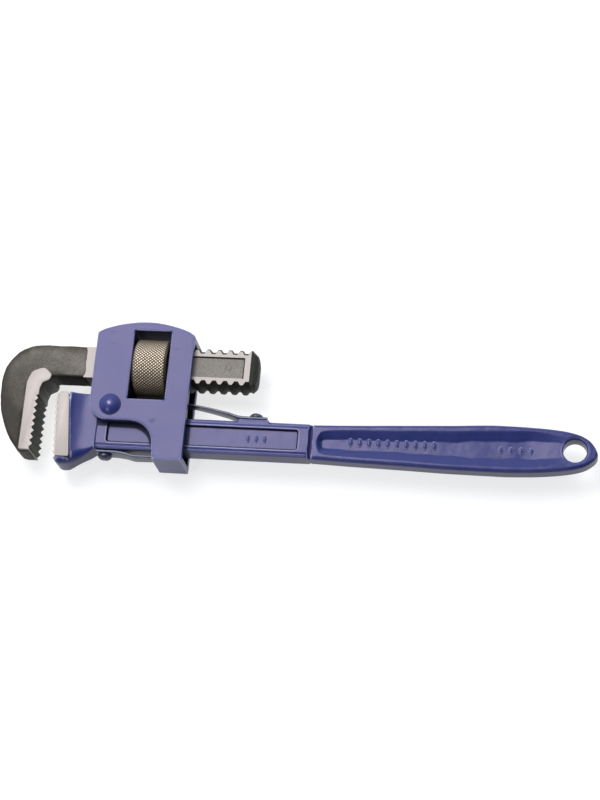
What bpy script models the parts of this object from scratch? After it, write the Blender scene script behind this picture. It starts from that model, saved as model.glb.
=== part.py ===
"""Stillson-pattern pipe wrench, 300 mm nominal length.

The wrench lies flat: +X runs from the hook jaw to the hanging hole, +Y from the handle to the
shank of the hook jaw, and +Z is the thickness. Every shape below is drawn in millimetres about the
pivot of the frame housing, half way through the thickness, and is put on its object in metres.
Each object's origin is on the axis of the joint that moves it.
"""

from math import asin, atan2, ceil, cos, degrees, hypot, pi, radians, sin

import bmesh
import bpy
from mathutils import Vector

MM = 0.001
GAP = 0.3                     # left between pieces that touch
PAST = 60.0                   # cutters reach at least this far from the pivot's plane or axis

# Where the pivot stands in the world: the middle of the wrench's box is over the world's origin
PIVOT = (-92.4, -7.13, 14.7)

# Frame housing
FRAME_LEFT, FRAME_RIGHT = -10.8, 39.3
FRAME_HALF = 11.25            # half the thickness over both cheeks
FRAME_BOTTOM = -27.9
CROWN_RADIUS, CROWN_TOP, CROWN_X = 57.3, 44.8, 14.4
CROWN_SHOULDER, CROWN_CORNER = 38.5, 1.5    # where the sides end, and the chamfer up to the crown
CHEEK_CORNER = (-1.6, 1.3, 9.2)     # rounded corner below the pivot: centre and radius
LEG_LEFT = 23.4
LEG_ARCH = (11.0, -20.1, 12.2)      # arch from the cheek's foot to the leg: centre and radius
STRAP = 2.8                   # thickness of the strap under the handle
INNER_HALF = 7.3              # half the gap between the cheeks
BED_BOTTOM = 7.6
LEDGE_BOTTOM, LEDGE_RIGHT = 6.6, 33.5       # ledge that the upper spring bears on
LEG_TAPER = 0.8               # the leg and the right side draw in by this at the strap
WINDOW = (8.5, 27.1, 3.8, 40.0)     # left, right, bottom, top
WINDOW_CORNER = 0.6

# Shank of the hook jaw, with the thread that the nut runs on
SHANK_Y = 23.5
SHANK_HALF_HEIGHT = 8.5
PITCH = 5.6
THREAD_CREST, THREAD_ROOT = 11.3, 9.8
CREST_WIDTH, FLANK_WIDTH = 1.3, 1.3
THREAD_START, RACK_END = 0.8, 72.5
RACK_HALF = 6.9
TUNNEL_HALF_HEIGHT = 11.7
PANEL_START, PANEL_END, PANEL_HALF_HEIGHT, PANEL_DEPTH = 6.0, 64.8, 5.2, 0.8
SHANK_OVERLAP = 1.4           # the threaded bar starts this far inside the forging
# Free end of the shank: (radius, distance back from the end)
SHANK_TIP = ((14.0, 4.2), (THREAD_ROOT, 2.4), (7.2, 1.9), (5.0, 0.5), (0.0, 0.0))

# Hook jaw
FORGING_HALF = 7.15
JAW_HALF = 9.5                # half the width of both toothed faces
HOOK_LEFT, HOOK_BOTTOM = -58.0, -25.5
HOOK_CORNER_RADIUS = 19.5
HOOK_BACK_RADIUS, HOOK_BACK_Y = 48.0, 8.0
HOOK_TOP_DROP = 0.6           # the hook's back lies this far under the shank's top
HOOK_NOTCH = 0.9              # the forging stays this far behind the roots of the teeth
HOOK_THROAT = (-31.2, 7.0)    # centre of the round throat between the teeth and the shank
HOOK_TOOTH_X, HOOK_TOOTH_TOP = -37.8, 4.0
TOOTH_PITCH, TOOTH_DEPTH = 3.46, 1.5
TOOTH_FLAT = 0.8              # width of a tooth's crest
TOOTH_ROOT_START, TOOTH_ROOT_END = 0.45, 0.65     # shares of the pitch
HOOK_TEETH = 8
# Raised land that carries the teeth, from the last tooth round the throat to its back
LAND_BACK, LAND_RISE, LAND_LOW_CORNER = -44.5, 0.5, 1.2
LAND_THROAT = ((HOOK_TOOTH_X, 7.0), (-36.6, 10.6), (-33.5, 12.6), (-33.3, 15.4, 1.0),
               (-38.2, 18.4, 2.5), (-44.7, 13.0, 4.0))

# Heel jaw, leaning a little from the square of the handle
HEEL_TOP_LEFT, HEEL_TOP_RIGHT = (-29.0, 6.4), (-22.2, 6.4)
HEEL_BOTTOM_LEFT, HEEL_BOTTOM_RIGHT = (-26.3, -27.7), (-18.3, -27.7)
HEEL_TEETH, HEEL_FIRST_TOOTH = 8, 0.6
# One tooth: (height above its foot, depth behind the crest)
HEEL_TOOTH = ((0.0, 0.0), (0.8, 0.0), (1.5, 1.0), (2.3, 1.0))
HEEL_CORNERS = (1.2, 2.0, 2.4)      # bottom right, top right, top left
TENON = (-24.0, -15.4, -20.0, 0.0, 3.0)     # left, right, bottom, top, half thickness

# Adjusting nut
NUT_LEFT, NUT_RIGHT = 10.3, 26.5
NUT_RADIUS, NUT_CHAMFER = 14.7, 1.3
KNURL_GROOVE, KNURL_COUNT = 0.45, 40
THREAD_PLAY = 0.3

# Handle: a bar behind the head, then a grip that widens to the hanging hole
HEAD_TOP, HEAD_HALF = 6.7, 9.2
BELLY_BOTTOM, BELLY_RADIUS = -30.7, 4.5     # rounded underside of the head
CHIN = (-23.2, 3.9)           # rounded lower front corner of the head: centre x and radius
BAR_TOP, BAR_BOTTOM, BAR_END = -3.8, -21.5, 101.0
BAR_HALF, GRIP_HALF = 6.2, 4.9
NECK_HALF = 6.9               # bar between the cheeks
EYE_RADIUS = 3.8
HANDLE_END = 242.8
HOLE_X, HOLE_Y, HOLE_RADIUS = 231.7, -11.0, 5.8
BAR_PANEL = (-1.0, 95.4, -17.8, -7.6)       # left, right, bottom, top
BAR_PANEL_CORNER = 0.8
# Upper and lower edges of the grip, from the bar round the end and back
GRIP_EDGE = ((BAR_END, BAR_TOP), (120, -3.1), (146, -1.9), (170, -0.8), (195, 0.4), (213, 0.0),
             (225, -0.9), (232.5, -2.0), (238.2, -4.9), (241.6, -8.7), (HANDLE_END, -12.7),
             (240.8, -16.0), (236.6, -18.9), (230, -20.9), (221, -22.3), (210, -23.3), (196, -23.8),
             (171, -23.6), (146, -22.9), (121, -22.3), (BAR_END, BAR_BOTTOM - 0.2))
HEAD_SHOULDER = ((5.0, HEAD_TOP), (14.0, 2.4), (24.0, BAR_TOP))
HEAD_UNDERSIDE = ((-6.3, BAR_BOTTOM), (-10.0, -24.4), (-16.0, -28.2), (-19.5, -30.0))
# Half the thickness along the handle: head, neck between the cheeks, bar, grip
HALF_THICKNESS = ((-40.0, HEAD_HALF), (-20.4, HEAD_HALF), (-19.4, 8.3), (-17.5, 7.7), (-14.0, 7.3),
                  (-7.0, 7.0), (-6.4, NECK_HALF), (38.0, NECK_HALF), (41.0, BAR_HALF),
                  (BAR_END - 3, BAR_HALF), (BAR_END + 3, GRIP_HALF), (260.0, GRIP_HALF))
# Long recess in the grip: (x, middle y, half height at the rim, half height of the floor)
SCOOP = ((106.5, -13.0, 1.0, 0.4), (108.5, -13.1, 6.0, 2.2), (121.0, -13.0, 7.1, 2.7),
         (146.0, -12.8, 7.9, 2.8), (171.0, -12.7, 8.9, 3.6), (196.0, -12.0, 9.3, 4.4),
         (213.0, -11.4, 8.9, 4.0), (219.5, -11.2, 7.0, 2.6), (222.0, -11.1, 1.0, 0.4))
BOSS_LEFT, BOSS_RIGHT, BOSS_HEIGHT = 65.5, 79.6, 1.2    # seat of the upper spring
BOSS_SLOPE = 1.0
BAR_PANEL_DEPTH, SCOOP_DEPTH = 0.9, 2.2

# Pivot pin, leaf springs and their rivets
PIN_RADIUS, PIN_HEAD_RADIUS, PIN_HEAD_HEIGHT = 3.5, 5.5, 2.2
SPRING_THICKNESS, SPRING_HALF_WIDTH = 1.4, 4.6
RIVET_RADIUS, RIVET_HEAD_RADIUS, RIVET_HEAD_HEIGHT = 1.5, 3.6, 2.4
RIVET_DEPTH = 4.0
UPPER_RIVET_X, LOWER_RIVET_X = 72.9, -2.0
UPPER_FOOT_END, UPPER_TIP_HALF_WIDTH = 79.0, 2.5
UPPER_LEAF = ((58.0, 0.8), (48.0, 2.9), (38.0, 4.6), (29.5, 5.4))     # middle line past the foot
UPPER_FOOT_START = 68.0
LOWER_FOOT_END, LOWER_FOOT_START, LOWER_TIP_HALF_WIDTH = -6.0, 2.5, 3.8
LOWER_BEND, LOWER_REST = (8.0, -23.2), (14.0, 24.0, 37.0)   # bend, then x of its rest on the strap

ARC_STEP = radians(9.0)       # corners and arches are drawn with facets of this angle


# ---- outlines -----------------------------------------------------------------------------------

def arc(centre_x, centre_y, radius, start, end):
    """Points of an arc between two angles in degrees, both ends included."""
    steps = max(2, ceil(abs(radians(end - start)) / ARC_STEP))
    angles = [radians(start + (end - start) * i / steps) for i in range(steps + 1)]
    return [(centre_x + radius * cos(a), centre_y + radius * sin(a)) for a in angles]


def rounded(corners):
    """Outline through corners (x, y) or (x, y, radius), the latter drawn as an arc."""
    outline = []
    for i, corner in enumerate(corners):
        if len(corner) == 2:
            outline.append(corner)
            continue
        x, y, radius = corner
        here = Vector((x, y))
        before = (Vector(corners[i - 1][:2]) - here).normalized()
        after = (Vector(corners[(i + 1) % len(corners)][:2]) - here).normalized()
        half = before.angle(after) / 2
        centre = here + (before + after).normalized() * radius / sin(half)
        first = here + before * radius * cos(half) / sin(half) - centre
        turn = after.angle_signed(before)
        sweep = (pi - abs(turn)) * (1 if turn > 0 else -1)
        start = atan2(first.y, first.x)
        outline += arc(centre.x, centre.y, radius, degrees(start), degrees(start - sweep))
    return outline


def filleted(left, right, bottom, top, radius):
    """Outline of a rectangle with four equal rounded corners."""
    corners = ((left, bottom), (right, bottom), (right, top), (left, top))
    return rounded([(x, y, radius) for x, y in corners])


def spline(points, steps):
    """Points along a smooth (Catmull-Rom) curve through the given ones."""
    ends = [points[0]] + list(points) + [points[-1]]
    curve = []
    for a, b, c, d in zip(ends, ends[1:], ends[2:], ends[3:]):
        for i in range(steps):
            t = i / steps
            curve.append(tuple(0.5 * (2 * q + (r - p) * t + (2 * p - 5 * q + 4 * r - s) * t * t
                                      + (3 * q - p - 3 * r + s) * t ** 3)
                               for p, q, r, s in zip(a, b, c, d)))
    return curve + [points[-1]]


# ---- solids -------------------------------------------------------------------------------------

def place(name, mesh_data, origin=(0, 0, 0)):
    """Object of a bmesh drawn in millimetres about the pivot, with its own origin."""
    bmesh.ops.recalc_face_normals(mesh_data, faces=mesh_data.faces)
    for vertex in mesh_data.verts:
        vertex.co = (vertex.co - Vector(origin)) * MM
    mesh = bpy.data.meshes.new(name)
    mesh_data.to_mesh(mesh)
    mesh_data.free()
    piece = bpy.data.objects.new(name, mesh)
    piece.location = Vector(origin) * MM
    bpy.context.scene.collection.objects.link(piece)
    return piece


def prism(name, outline, low, high, plane="XY", origin=(0, 0, 0)):
    """Outline drawn in a plane and extruded along the third axis from low to high."""
    put = {"XY": lambda a, b, c: (a, b, c), "XZ": lambda a, b, c: (a, c, b),
           "YZ": lambda a, b, c: (c, a, b)}[plane]
    solid = bmesh.new()
    base = solid.faces.new([solid.verts.new(put(a, b, low)) for a, b in outline])
    top = bmesh.ops.extrude_face_region(solid, geom=[base])["geom"]
    lift = Vector(put(0, 0, high - low))
    bmesh.ops.translate(solid, vec=lift, verts=[v for v in top if isinstance(v, bmesh.types.BMVert)])
    return place(name, solid, origin)


def box(name, low, high):
    """Block between two opposite corners."""
    outline = [(low[0], low[1]), (high[0], low[1]), (high[0], high[1]), (low[0], high[1])]
    return prism(name, outline, low[2], high[2])


def turned(name, profile, to_world, sides, origin=(0, 0, 0)):
    """Solid of revolution of points (radius, height); radius 0 closes an end."""
    solid = bmesh.new()
    rings = []
    for radius, height in profile:
        if radius == 0:
            rings.append([solid.verts.new(to_world(0, 0, height))] * sides)
            continue
        angles = [2 * pi * i / sides for i in range(sides)]
        rings.append([solid.verts.new(to_world(radius * cos(a), radius * sin(a), height)) for a in angles])
    for lower, upper in zip(rings, rings[1:]):
        for i in range(sides):
            j = (i + 1) % sides
            corners = dict.fromkeys([lower[i], lower[j], upper[j], upper[i]])
            solid.faces.new(list(corners))
    return place(name, solid, origin)


def bore(name, radius, to_world, sides, bottom=-PAST):
    """Round cutter, right through or down to a bottom."""
    profile = [(0, bottom), (radius, bottom), (radius, PAST), (0, PAST)]
    return turned(name, profile, to_world, sides)


def about_z(x, y):
    """Turned solids that stand along Z."""
    return lambda a, b, height: (x + a, y + b, height)


def about_y(x, upwards):
    """Turned solids that stand along Y, upwards or downwards."""
    return lambda a, b, height: (x + a, height if upwards else -height, b)


def about_x(a, b, height):
    """Turned solids that lie along the shank's axis."""
    return (height, SHANK_Y + a, b)


def combine(target, tool, operation):
    """Exact Boolean of two objects; the tool stays in the file as a wire guide."""
    modifier = target.modifiers.new(tool.name, "BOOLEAN")
    modifier.object = tool
    modifier.operation = operation
    modifier.solver = "EXACT"
    tool.hide_render = True
    tool.display_type = "WIRE"
    tool.parent = target
    tool.matrix_parent_inverse = target.matrix_basis.inverted()


def cut(target, *tools):
    for tool in tools:
        combine(target, tool, "DIFFERENCE")


def threaded_bar(name, first_turn, turns, play):
    """Right-hand thread along the shank's axis, every wall moved out by the play."""
    crest = CREST_WIDTH / 2 + play
    root = crest + FLANK_WIDTH
    row = [(-root, THREAD_ROOT + play), (-crest, THREAD_CREST + play),
           (crest, THREAD_CREST + play), (root, THREAD_ROOT + play)]
    start = THREAD_START + first_turn * PITCH
    sides = 32
    solid = bmesh.new()
    columns = []
    for side in range(sides):
        angle = 2 * pi * side / sides
        columns.append([solid.verts.new((start + (turn + side / sides) * PITCH + x,
                                         SHANK_Y + radius * cos(angle), radius * sin(angle)))
                        for turn in range(turns) for x, radius in row])
    for side in range(sides):
        here = columns[side]
        there = columns[side + 1] if side + 1 < sides else columns[0][len(row):]
        for a, b, c, d in zip(here, here[1:], there[1:], there):
            solid.faces.new((a, b, c, d))
    rims = [edge for edge in solid.edges if edge.is_boundary]
    bmesh.ops.holes_fill(solid, edges=rims)
    return place(name, solid)


# ---- the pieces ---------------------------------------------------------------------------------

def material(name, colour, roughness, metallic):
    finish = bpy.data.materials.new(name)
    finish.use_nodes = True
    shader = finish.node_tree.nodes["Principled BSDF"]
    shader.inputs["Base Color"].default_value = (*colour, 1)
    shader.inputs["Roughness"].default_value = roughness
    shader.inputs["Metallic"].default_value = metallic
    return finish


def frame_housing():
    """Two cheeks joined by the crown, the shank's bed and the strap under the handle."""
    left = degrees(atan2(1, (FRAME_LEFT + CROWN_CORNER - CROWN_X) / CROWN_RADIUS))
    right = degrees(atan2(1, (FRAME_RIGHT - CROWN_CORNER - CROWN_X) / CROWN_RADIUS))
    outline = arc(CROWN_X, CROWN_TOP - CROWN_RADIUS, CROWN_RADIUS, right, left)
    outline += [(FRAME_LEFT, CROWN_SHOULDER)]
    outline += arc(*CHEEK_CORNER, 180, 270)
    outline += arc(*LEG_ARCH, 90, 0)
    outline += [(LEG_LEFT + LEG_TAPER, FRAME_BOTTOM), (FRAME_RIGHT - LEG_TAPER / 4, FRAME_BOTTOM)]
    outline += [(FRAME_RIGHT, CROWN_SHOULDER)]
    frame = prism("frame_housing", outline, -FRAME_HALF, FRAME_HALF)
    left, right, bottom, top = WINDOW
    window = prism("window", filleted(left, right, bottom, top, WINDOW_CORNER), -PAST, PAST)
    tunnel = box("tunnel", (-PAST, SHANK_Y - TUNNEL_HALF_HEIGHT, -INNER_HALF),
                 (PAST, SHANK_Y + TUNNEL_HALF_HEIGHT, INNER_HALF))
    strap_top = FRAME_BOTTOM + STRAP
    ledge_left = right - 1
    slot = [(-PAST, strap_top), (PAST, strap_top), (PAST, SHANK_Y), (LEDGE_RIGHT, SHANK_Y),
            (LEDGE_RIGHT, LEDGE_BOTTOM), (ledge_left, LEDGE_BOTTOM), (ledge_left, BED_BOTTOM),
            (-PAST, BED_BOTTOM)]
    handle_slot = prism("handle_slot", slot, -INNER_HALF, INNER_HALF)
    cut(frame, window, tunnel, handle_slot, bore("frame_pin_bore", EYE_RADIUS, about_z(0, 0), 24))
    return frame


def frame_pin():
    """Riveted pivot pin with a domed head on each cheek."""
    steps = 5
    sphere = (PIN_HEAD_RADIUS ** 2 + PIN_HEAD_HEIGHT ** 2) / (2 * PIN_HEAD_HEIGHT)
    sweep = asin(PIN_HEAD_RADIUS / sphere)
    face = FRAME_HALF + GAP
    centre = face + PIN_HEAD_HEIGHT - sphere
    dome = [(sphere * sin(sweep * i / steps), centre + sphere * cos(sweep * i / steps))
            for i in range(steps, 0, -1)] + [(0, centre + sphere)]
    upper = [(PIN_RADIUS, face)] + dome
    profile = [(r, -h) for r, h in reversed(upper)] + upper
    return turned("frame_pin", profile, about_z(0, 0), 24)


def hook_jaw():
    """Forged hook with its toothed face and its threaded shank, in one piece."""
    shank_top = SHANK_Y + SHANK_HALF_HEIGHT
    shank_bottom = SHANK_Y - SHANK_HALF_HEIGHT
    corner_x = HOOK_LEFT + HOOK_CORNER_RADIUS
    corner_y = shank_top - HOOK_TOP_DROP - HOOK_CORNER_RADIUS
    back_x = HOOK_LEFT + HOOK_BACK_RADIUS
    tip = degrees(asin((HOOK_BACK_Y - HOOK_BOTTOM) / HOOK_BACK_RADIUS))
    notch_x = HOOK_TOOTH_X - TOOTH_DEPTH - HOOK_NOTCH
    throat_x, throat_y = HOOK_THROAT
    outline = [(THREAD_START + 1, shank_bottom), (THREAD_START + 1, shank_top)]
    outline += arc(corner_x, corner_y, HOOK_CORNER_RADIUS, 90, 180)
    outline += arc(back_x, HOOK_BACK_Y, HOOK_BACK_RADIUS, 180, 180 + tip)
    outline += [(notch_x, HOOK_BOTTOM), (notch_x, HOOK_TOOTH_TOP)]
    outline += arc(throat_x, throat_y, shank_bottom - throat_y, 170, 90)
    hook = prism("hook_jaw", outline, -FORGING_HALF, FORGING_HALF)

    teeth = []
    for i in range(HOOK_TEETH):
        y = HOOK_TOOTH_TOP - i * TOOTH_PITCH
        teeth += [(HOOK_TOOTH_X, y), (HOOK_TOOTH_X, y - TOOTH_FLAT),
                  (HOOK_TOOTH_X - TOOTH_DEPTH, y - TOOTH_ROOT_START * TOOTH_PITCH),
                  (HOOK_TOOTH_X - TOOTH_DEPTH, y - TOOTH_ROOT_END * TOOTH_PITCH)]
    land_bottom = HOOK_BOTTOM + LAND_RISE
    teeth.append((HOOK_TOOTH_X, HOOK_TOOTH_TOP - HOOK_TEETH * TOOTH_PITCH))
    land = [(LAND_BACK, land_bottom, LAND_LOW_CORNER), (HOOK_TOOTH_X, land_bottom)]
    land += list(reversed(teeth)) + list(LAND_THROAT)
    block = prism("hook_land", rounded(land), -JAW_HALF, JAW_HALF)
    combine(hook, block, "UNION")

    rack = threaded_bar("rack_thread", -2, 16, 0)
    flats = box("rack_flats", (THREAD_START - SHANK_OVERLAP, 0, -RACK_HALF),
                (RACK_END + PITCH, PAST, RACK_HALF))
    wide = SHANK_TIP[0][0]
    end = [(0, -PAST), (wide, -PAST)] + [(radius, RACK_END - back) for radius, back in SHANK_TIP]
    combine(rack, flats, "INTERSECT")
    combine(rack, turned("rack_end", end, about_x, 32), "INTERSECT")
    combine(hook, rack, "UNION")
    for side in (-1, 1):
        low, high = sorted((side * (RACK_HALF - PANEL_DEPTH), side * PAST))
        panel = box("rack_panel", (PANEL_START, SHANK_Y - PANEL_HALF_HEIGHT, low),
                    (PANEL_END, SHANK_Y + PANEL_HALF_HEIGHT, high))
        cut(hook, panel)
    return hook


def adjusting_nut():
    """Knurled nut, threaded to run on the shank."""
    grip = NUT_RADIUS - KNURL_GROOVE
    profile = [(0, NUT_LEFT), (NUT_RADIUS - NUT_CHAMFER, NUT_LEFT), (grip, NUT_LEFT + NUT_CHAMFER),
               (NUT_RADIUS, NUT_LEFT + NUT_CHAMFER), (NUT_RADIUS, NUT_RIGHT - NUT_CHAMFER),
               (grip, NUT_RIGHT - NUT_CHAMFER), (NUT_RADIUS - NUT_CHAMFER, NUT_RIGHT), (0, NUT_RIGHT)]
    origin = ((NUT_LEFT + NUT_RIGHT) / 2, SHANK_Y, 0)
    nut = turned("adjusting_nut", profile, about_x, KNURL_COUNT, origin)
    cut(nut, threaded_bar("nut_thread", 0, 6, THREAD_PLAY))
    return nut


def heel_outline(grow):
    """Outline of the heel jaw, without teeth, grown by a clearance."""
    (a, b), (c, d) = HEEL_TOP_LEFT, HEEL_TOP_RIGHT
    (e, f), (g, h) = HEEL_BOTTOM_LEFT, HEEL_BOTTOM_RIGHT
    return [(a - grow, b + grow), (c + grow, d + grow), (g + grow, h - grow), (e - grow, f - grow)]


def heel_jaw():
    """Hardened toothed insert, held in the handle's head by a tenon on its back."""
    (top_x, top_y), (low_x, low_y) = HEEL_TOP_LEFT, HEEL_BOTTOM_LEFT
    lean = (low_x - top_x) / (low_y - top_y)
    teeth = []
    for i in range(HEEL_TEETH):
        y = low_y + HEEL_FIRST_TOOTH + i * TOOTH_PITCH
        for height, depth in HEEL_TOOTH:
            teeth.append((low_x + (y + height - low_y) * lean + depth, y + height))
    bottom_right, top_right, top_left = HEEL_CORNERS
    outline = list(reversed(teeth)) + [HEEL_BOTTOM_LEFT, (*HEEL_BOTTOM_RIGHT, bottom_right)]
    outline += [(*HEEL_TOP_RIGHT, top_right), (*HEEL_TOP_LEFT, top_left)]
    jaw = prism("heel_jaw", rounded(outline), -JAW_HALF, JAW_HALF)
    left, right, bottom, top, half = TENON
    combine(jaw, box("tenon", (left, bottom, -half), (right, top, half)), "UNION")
    return jaw


def handle_outline():
    """Side view of the whole handle, from the head round the grip and back."""
    chin_x, chin_radius = CHIN
    outline = [(HEEL_TOP_RIGHT[0] + GAP, HEAD_TOP), *HEAD_SHOULDER]
    outline += [(BOSS_LEFT - BOSS_SLOPE, BAR_TOP), (BOSS_LEFT, BAR_TOP + BOSS_HEIGHT),
                (BOSS_RIGHT, BAR_TOP + BOSS_HEIGHT), (BOSS_RIGHT + BOSS_SLOPE, BAR_TOP)]
    outline += spline(GRIP_EDGE, 2)
    outline += HEAD_UNDERSIDE
    outline += arc(chin_x, BELLY_BOTTOM + chin_radius, chin_radius, 270, 205)
    outline += [(HEEL_BOTTOM_LEFT[0] + 0.2, HEEL_BOTTOM_LEFT[1] - GAP)]
    outline += [(HEEL_BOTTOM_RIGHT[0] + GAP, HEEL_BOTTOM_RIGHT[1] - GAP)]
    return outline


def scoop(side):
    """Cutter for the long recess in one face of the grip, its walls sloping to a narrow floor."""
    rim, floor = GRIP_HALF, GRIP_HALF - SCOOP_DEPTH
    above = 0.5
    solid = bmesh.new()
    previous = None
    for x, middle, half_rim, half_floor in SCOOP:
        outer = half_rim + (half_rim - half_floor) / SCOOP_DEPTH * above
        section = [solid.verts.new((x, middle + y, side * z)) for y, z in
                   ((-outer, rim + above), (-half_floor, floor), (half_floor, floor), (outer, rim + above))]
        if previous:
            for i in range(4):
                j = (i + 1) % 4
                solid.faces.new((previous[i], previous[j], section[j], section[i]))
        else:
            solid.faces.new(section)
        previous = section
    solid.faces.new(previous)
    return place("scoop", solid)


def handle():
    """Forged handle with its head, eye for the pivot, bar, grip and hanging hole."""
    body = prism("handle", handle_outline(), -HEAD_HALF - GAP, HEAD_HALF + GAP)
    mirrored = [(x, -z) for x, z in reversed(HALF_THICKNESS)]
    combine(body, prism("thickness", [*HALF_THICKNESS, *mirrored], -PAST, PAST, "XZ"), "INTERSECT")
    belly = arc(BELLY_BOTTOM + BELLY_RADIUS, -HEAD_HALF + BELLY_RADIUS, BELLY_RADIUS, 270, 180)
    belly += arc(BELLY_BOTTOM + BELLY_RADIUS, HEAD_HALF - BELLY_RADIUS, BELLY_RADIUS, 180, 90)
    belly += [(PAST, HEAD_HALF), (PAST, -HEAD_HALF)]
    combine(body, prism("rounded_belly", belly, -PAST, HANDLE_END + PAST, "YZ"), "INTERSECT")
    grown = prism("heel_seat", heel_outline(GAP), -PAST, PAST)
    left, right, bottom, top, half = TENON
    mortise = box("mortise", (left, bottom - GAP, -half - GAP), (right + GAP, top + GAP, half + GAP))
    cut(body, grown, mortise)
    left, right, bottom, top = BAR_PANEL
    for face in (-1, 1):
        low, high = sorted((face * (BAR_HALF - BAR_PANEL_DEPTH), face * PAST))
        cut(body, prism("bar_panel", filleted(left, right, bottom, top, BAR_PANEL_CORNER), low, high))
        cut(body, scoop(face))
    cut(body, bore("hanging_hole", HOLE_RADIUS, about_z(HOLE_X, HOLE_Y), 28),
        bore("eye", EYE_RADIUS, about_z(0, 0), 24))
    for x, face, upwards in ((UPPER_RIVET_X, BAR_TOP + BOSS_HEIGHT, True),
                             (LOWER_RIVET_X, -BAR_BOTTOM, False)):
        bottom = face - RIVET_DEPTH - GAP
        cut(body, bore("rivet_hole", RIVET_RADIUS + GAP, about_y(x, upwards), 16, bottom))
    return body


def leaf_spring(name, middle_line, rivet_x, tip_half_width):
    """Strip of spring steel along a line, tapering from its foot, with a hole for its rivet."""
    half = SPRING_THICKNESS / 2
    above, below = [], []
    for i, (x, y) in enumerate(middle_line):
        before, after = middle_line[max(i - 1, 0)], middle_line[min(i + 1, len(middle_line) - 1)]
        length = hypot(after[0] - before[0], after[1] - before[1])
        across = ((before[1] - after[1]) / length * half, (after[0] - before[0]) / length * half)
        above.append((x + across[0], y + across[1]))
        below.append((x - across[0], y - across[1]))
    strip = prism(name, below + list(reversed(above)), -SPRING_HALF_WIDTH, SPRING_HALF_WIDTH)
    foot_x, tip_x = middle_line[1][0], middle_line[-1][0]
    beyond = foot_x + 2 * (middle_line[0][0] - foot_x)
    wide, narrow = SPRING_HALF_WIDTH + 1, tip_half_width
    edge = [(beyond, wide), (foot_x, SPRING_HALF_WIDTH), (2 * tip_x - foot_x, 2 * narrow - SPRING_HALF_WIDTH)]
    taper = prism(name + "_taper", edge + [(x, -z) for x, z in reversed(edge)], -PAST, PAST, "XZ")
    combine(strip, taper, "INTERSECT")
    cut(strip, bore(name + "_hole", RIVET_RADIUS + GAP, about_y(rivet_x, True), 16))
    return strip


def upper_spring():
    """Leaf from the top of the bar up to the ledge under the shank."""
    foot = BAR_TOP + BOSS_HEIGHT + GAP + SPRING_THICKNESS / 2
    line = [(UPPER_FOOT_END, foot)] + spline([(UPPER_FOOT_START, foot), *UPPER_LEAF], 3)
    return leaf_spring("upper_spring", line, UPPER_RIVET_X, UPPER_TIP_HALF_WIDTH)


def lower_spring():
    """Leaf from the underside of the bar down to the strap."""
    foot = BAR_BOTTOM - GAP - SPRING_THICKNESS / 2
    rest = FRAME_BOTTOM + STRAP + GAP + SPRING_THICKNESS / 2
    resting = [(x, rest) for x in LOWER_REST]
    line = [(LOWER_FOOT_END, foot)] + spline([(LOWER_FOOT_START, foot), LOWER_BEND, *resting], 3)
    return leaf_spring("lower_spring", line, LOWER_RIVET_X, LOWER_TIP_HALF_WIDTH)


def spring_rivet(name, x, face, upwards):
    """Snap-head rivet through a spring's foot into the bar."""
    steps = 4
    seat = face + GAP + SPRING_THICKNESS + GAP
    dome = [(RIVET_HEAD_RADIUS * cos(pi / 2 * i / steps), seat + RIVET_HEAD_HEIGHT * sin(pi / 2 * i / steps))
            for i in range(steps)] + [(0, seat + RIVET_HEAD_HEIGHT)]
    bottom = face - RIVET_DEPTH
    profile = [(0, bottom), (RIVET_RADIUS, bottom), (RIVET_RADIUS, seat)] + dome
    return turned(name, profile, about_y(x, upwards), 20)


def main():
    for old in list(bpy.data.objects):
        bpy.data.objects.remove(old)
    enamel = material("blue_enamel", (0.105, 0.105, 0.27), 0.3, 0.0)
    ground = material("ground_steel", (0.66, 0.62, 0.6), 0.35, 1.0)
    forged = material("forged_steel", (0.16, 0.14, 0.125), 0.55, 0.8)
    knurled = material("knurled_steel", (0.3, 0.26, 0.2), 0.4, 1.0)
    painted = material("spring_steel", (0.12, 0.13, 0.2), 0.4, 0.4)

    pieces = {
        handle(): enamel,
        heel_jaw(): ground,
        upper_spring(): painted,
        spring_rivet("upper_spring_rivet", UPPER_RIVET_X, BAR_TOP + BOSS_HEIGHT, True): painted,
        lower_spring(): painted,
        spring_rivet("lower_spring_rivet", LOWER_RIVET_X, -BAR_BOTTOM, False): painted,
        frame_housing(): enamel,
        frame_pin(): enamel,
        hook_jaw(): forged,
        adjusting_nut(): knurled,
    }
    pivot = bpy.data.objects.new("pivot", None)
    pivot.location = Vector(PIVOT) * MM
    bpy.context.scene.collection.objects.link(pivot)
    for piece, finish in pieces.items():
        piece.data.materials.append(finish)
        piece.data.shade_smooth()
        piece.data.set_sharp_from_angle(angle=radians(28))
        piece.parent = pivot


main()
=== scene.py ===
"""Looks of an adjustable pipe wrench: enamelled forgings, ground jaws, a knurled nut and leaf springs.

Lengths in the code are millimetres about the pivot of the frame housing, half way through the
thickness: x towards the hanging hole, y towards the shank of the hook jaw, z through the thickness.
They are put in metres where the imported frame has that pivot.
"""

from math import asin, ceil, cos, degrees, pi, radians, sin, sqrt

import bmesh
import bpy
import numpy as np
from bpy.props import FloatProperty, FloatVectorProperty, IntProperty, PointerProperty
from mathutils import Matrix, Vector, noise


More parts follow.
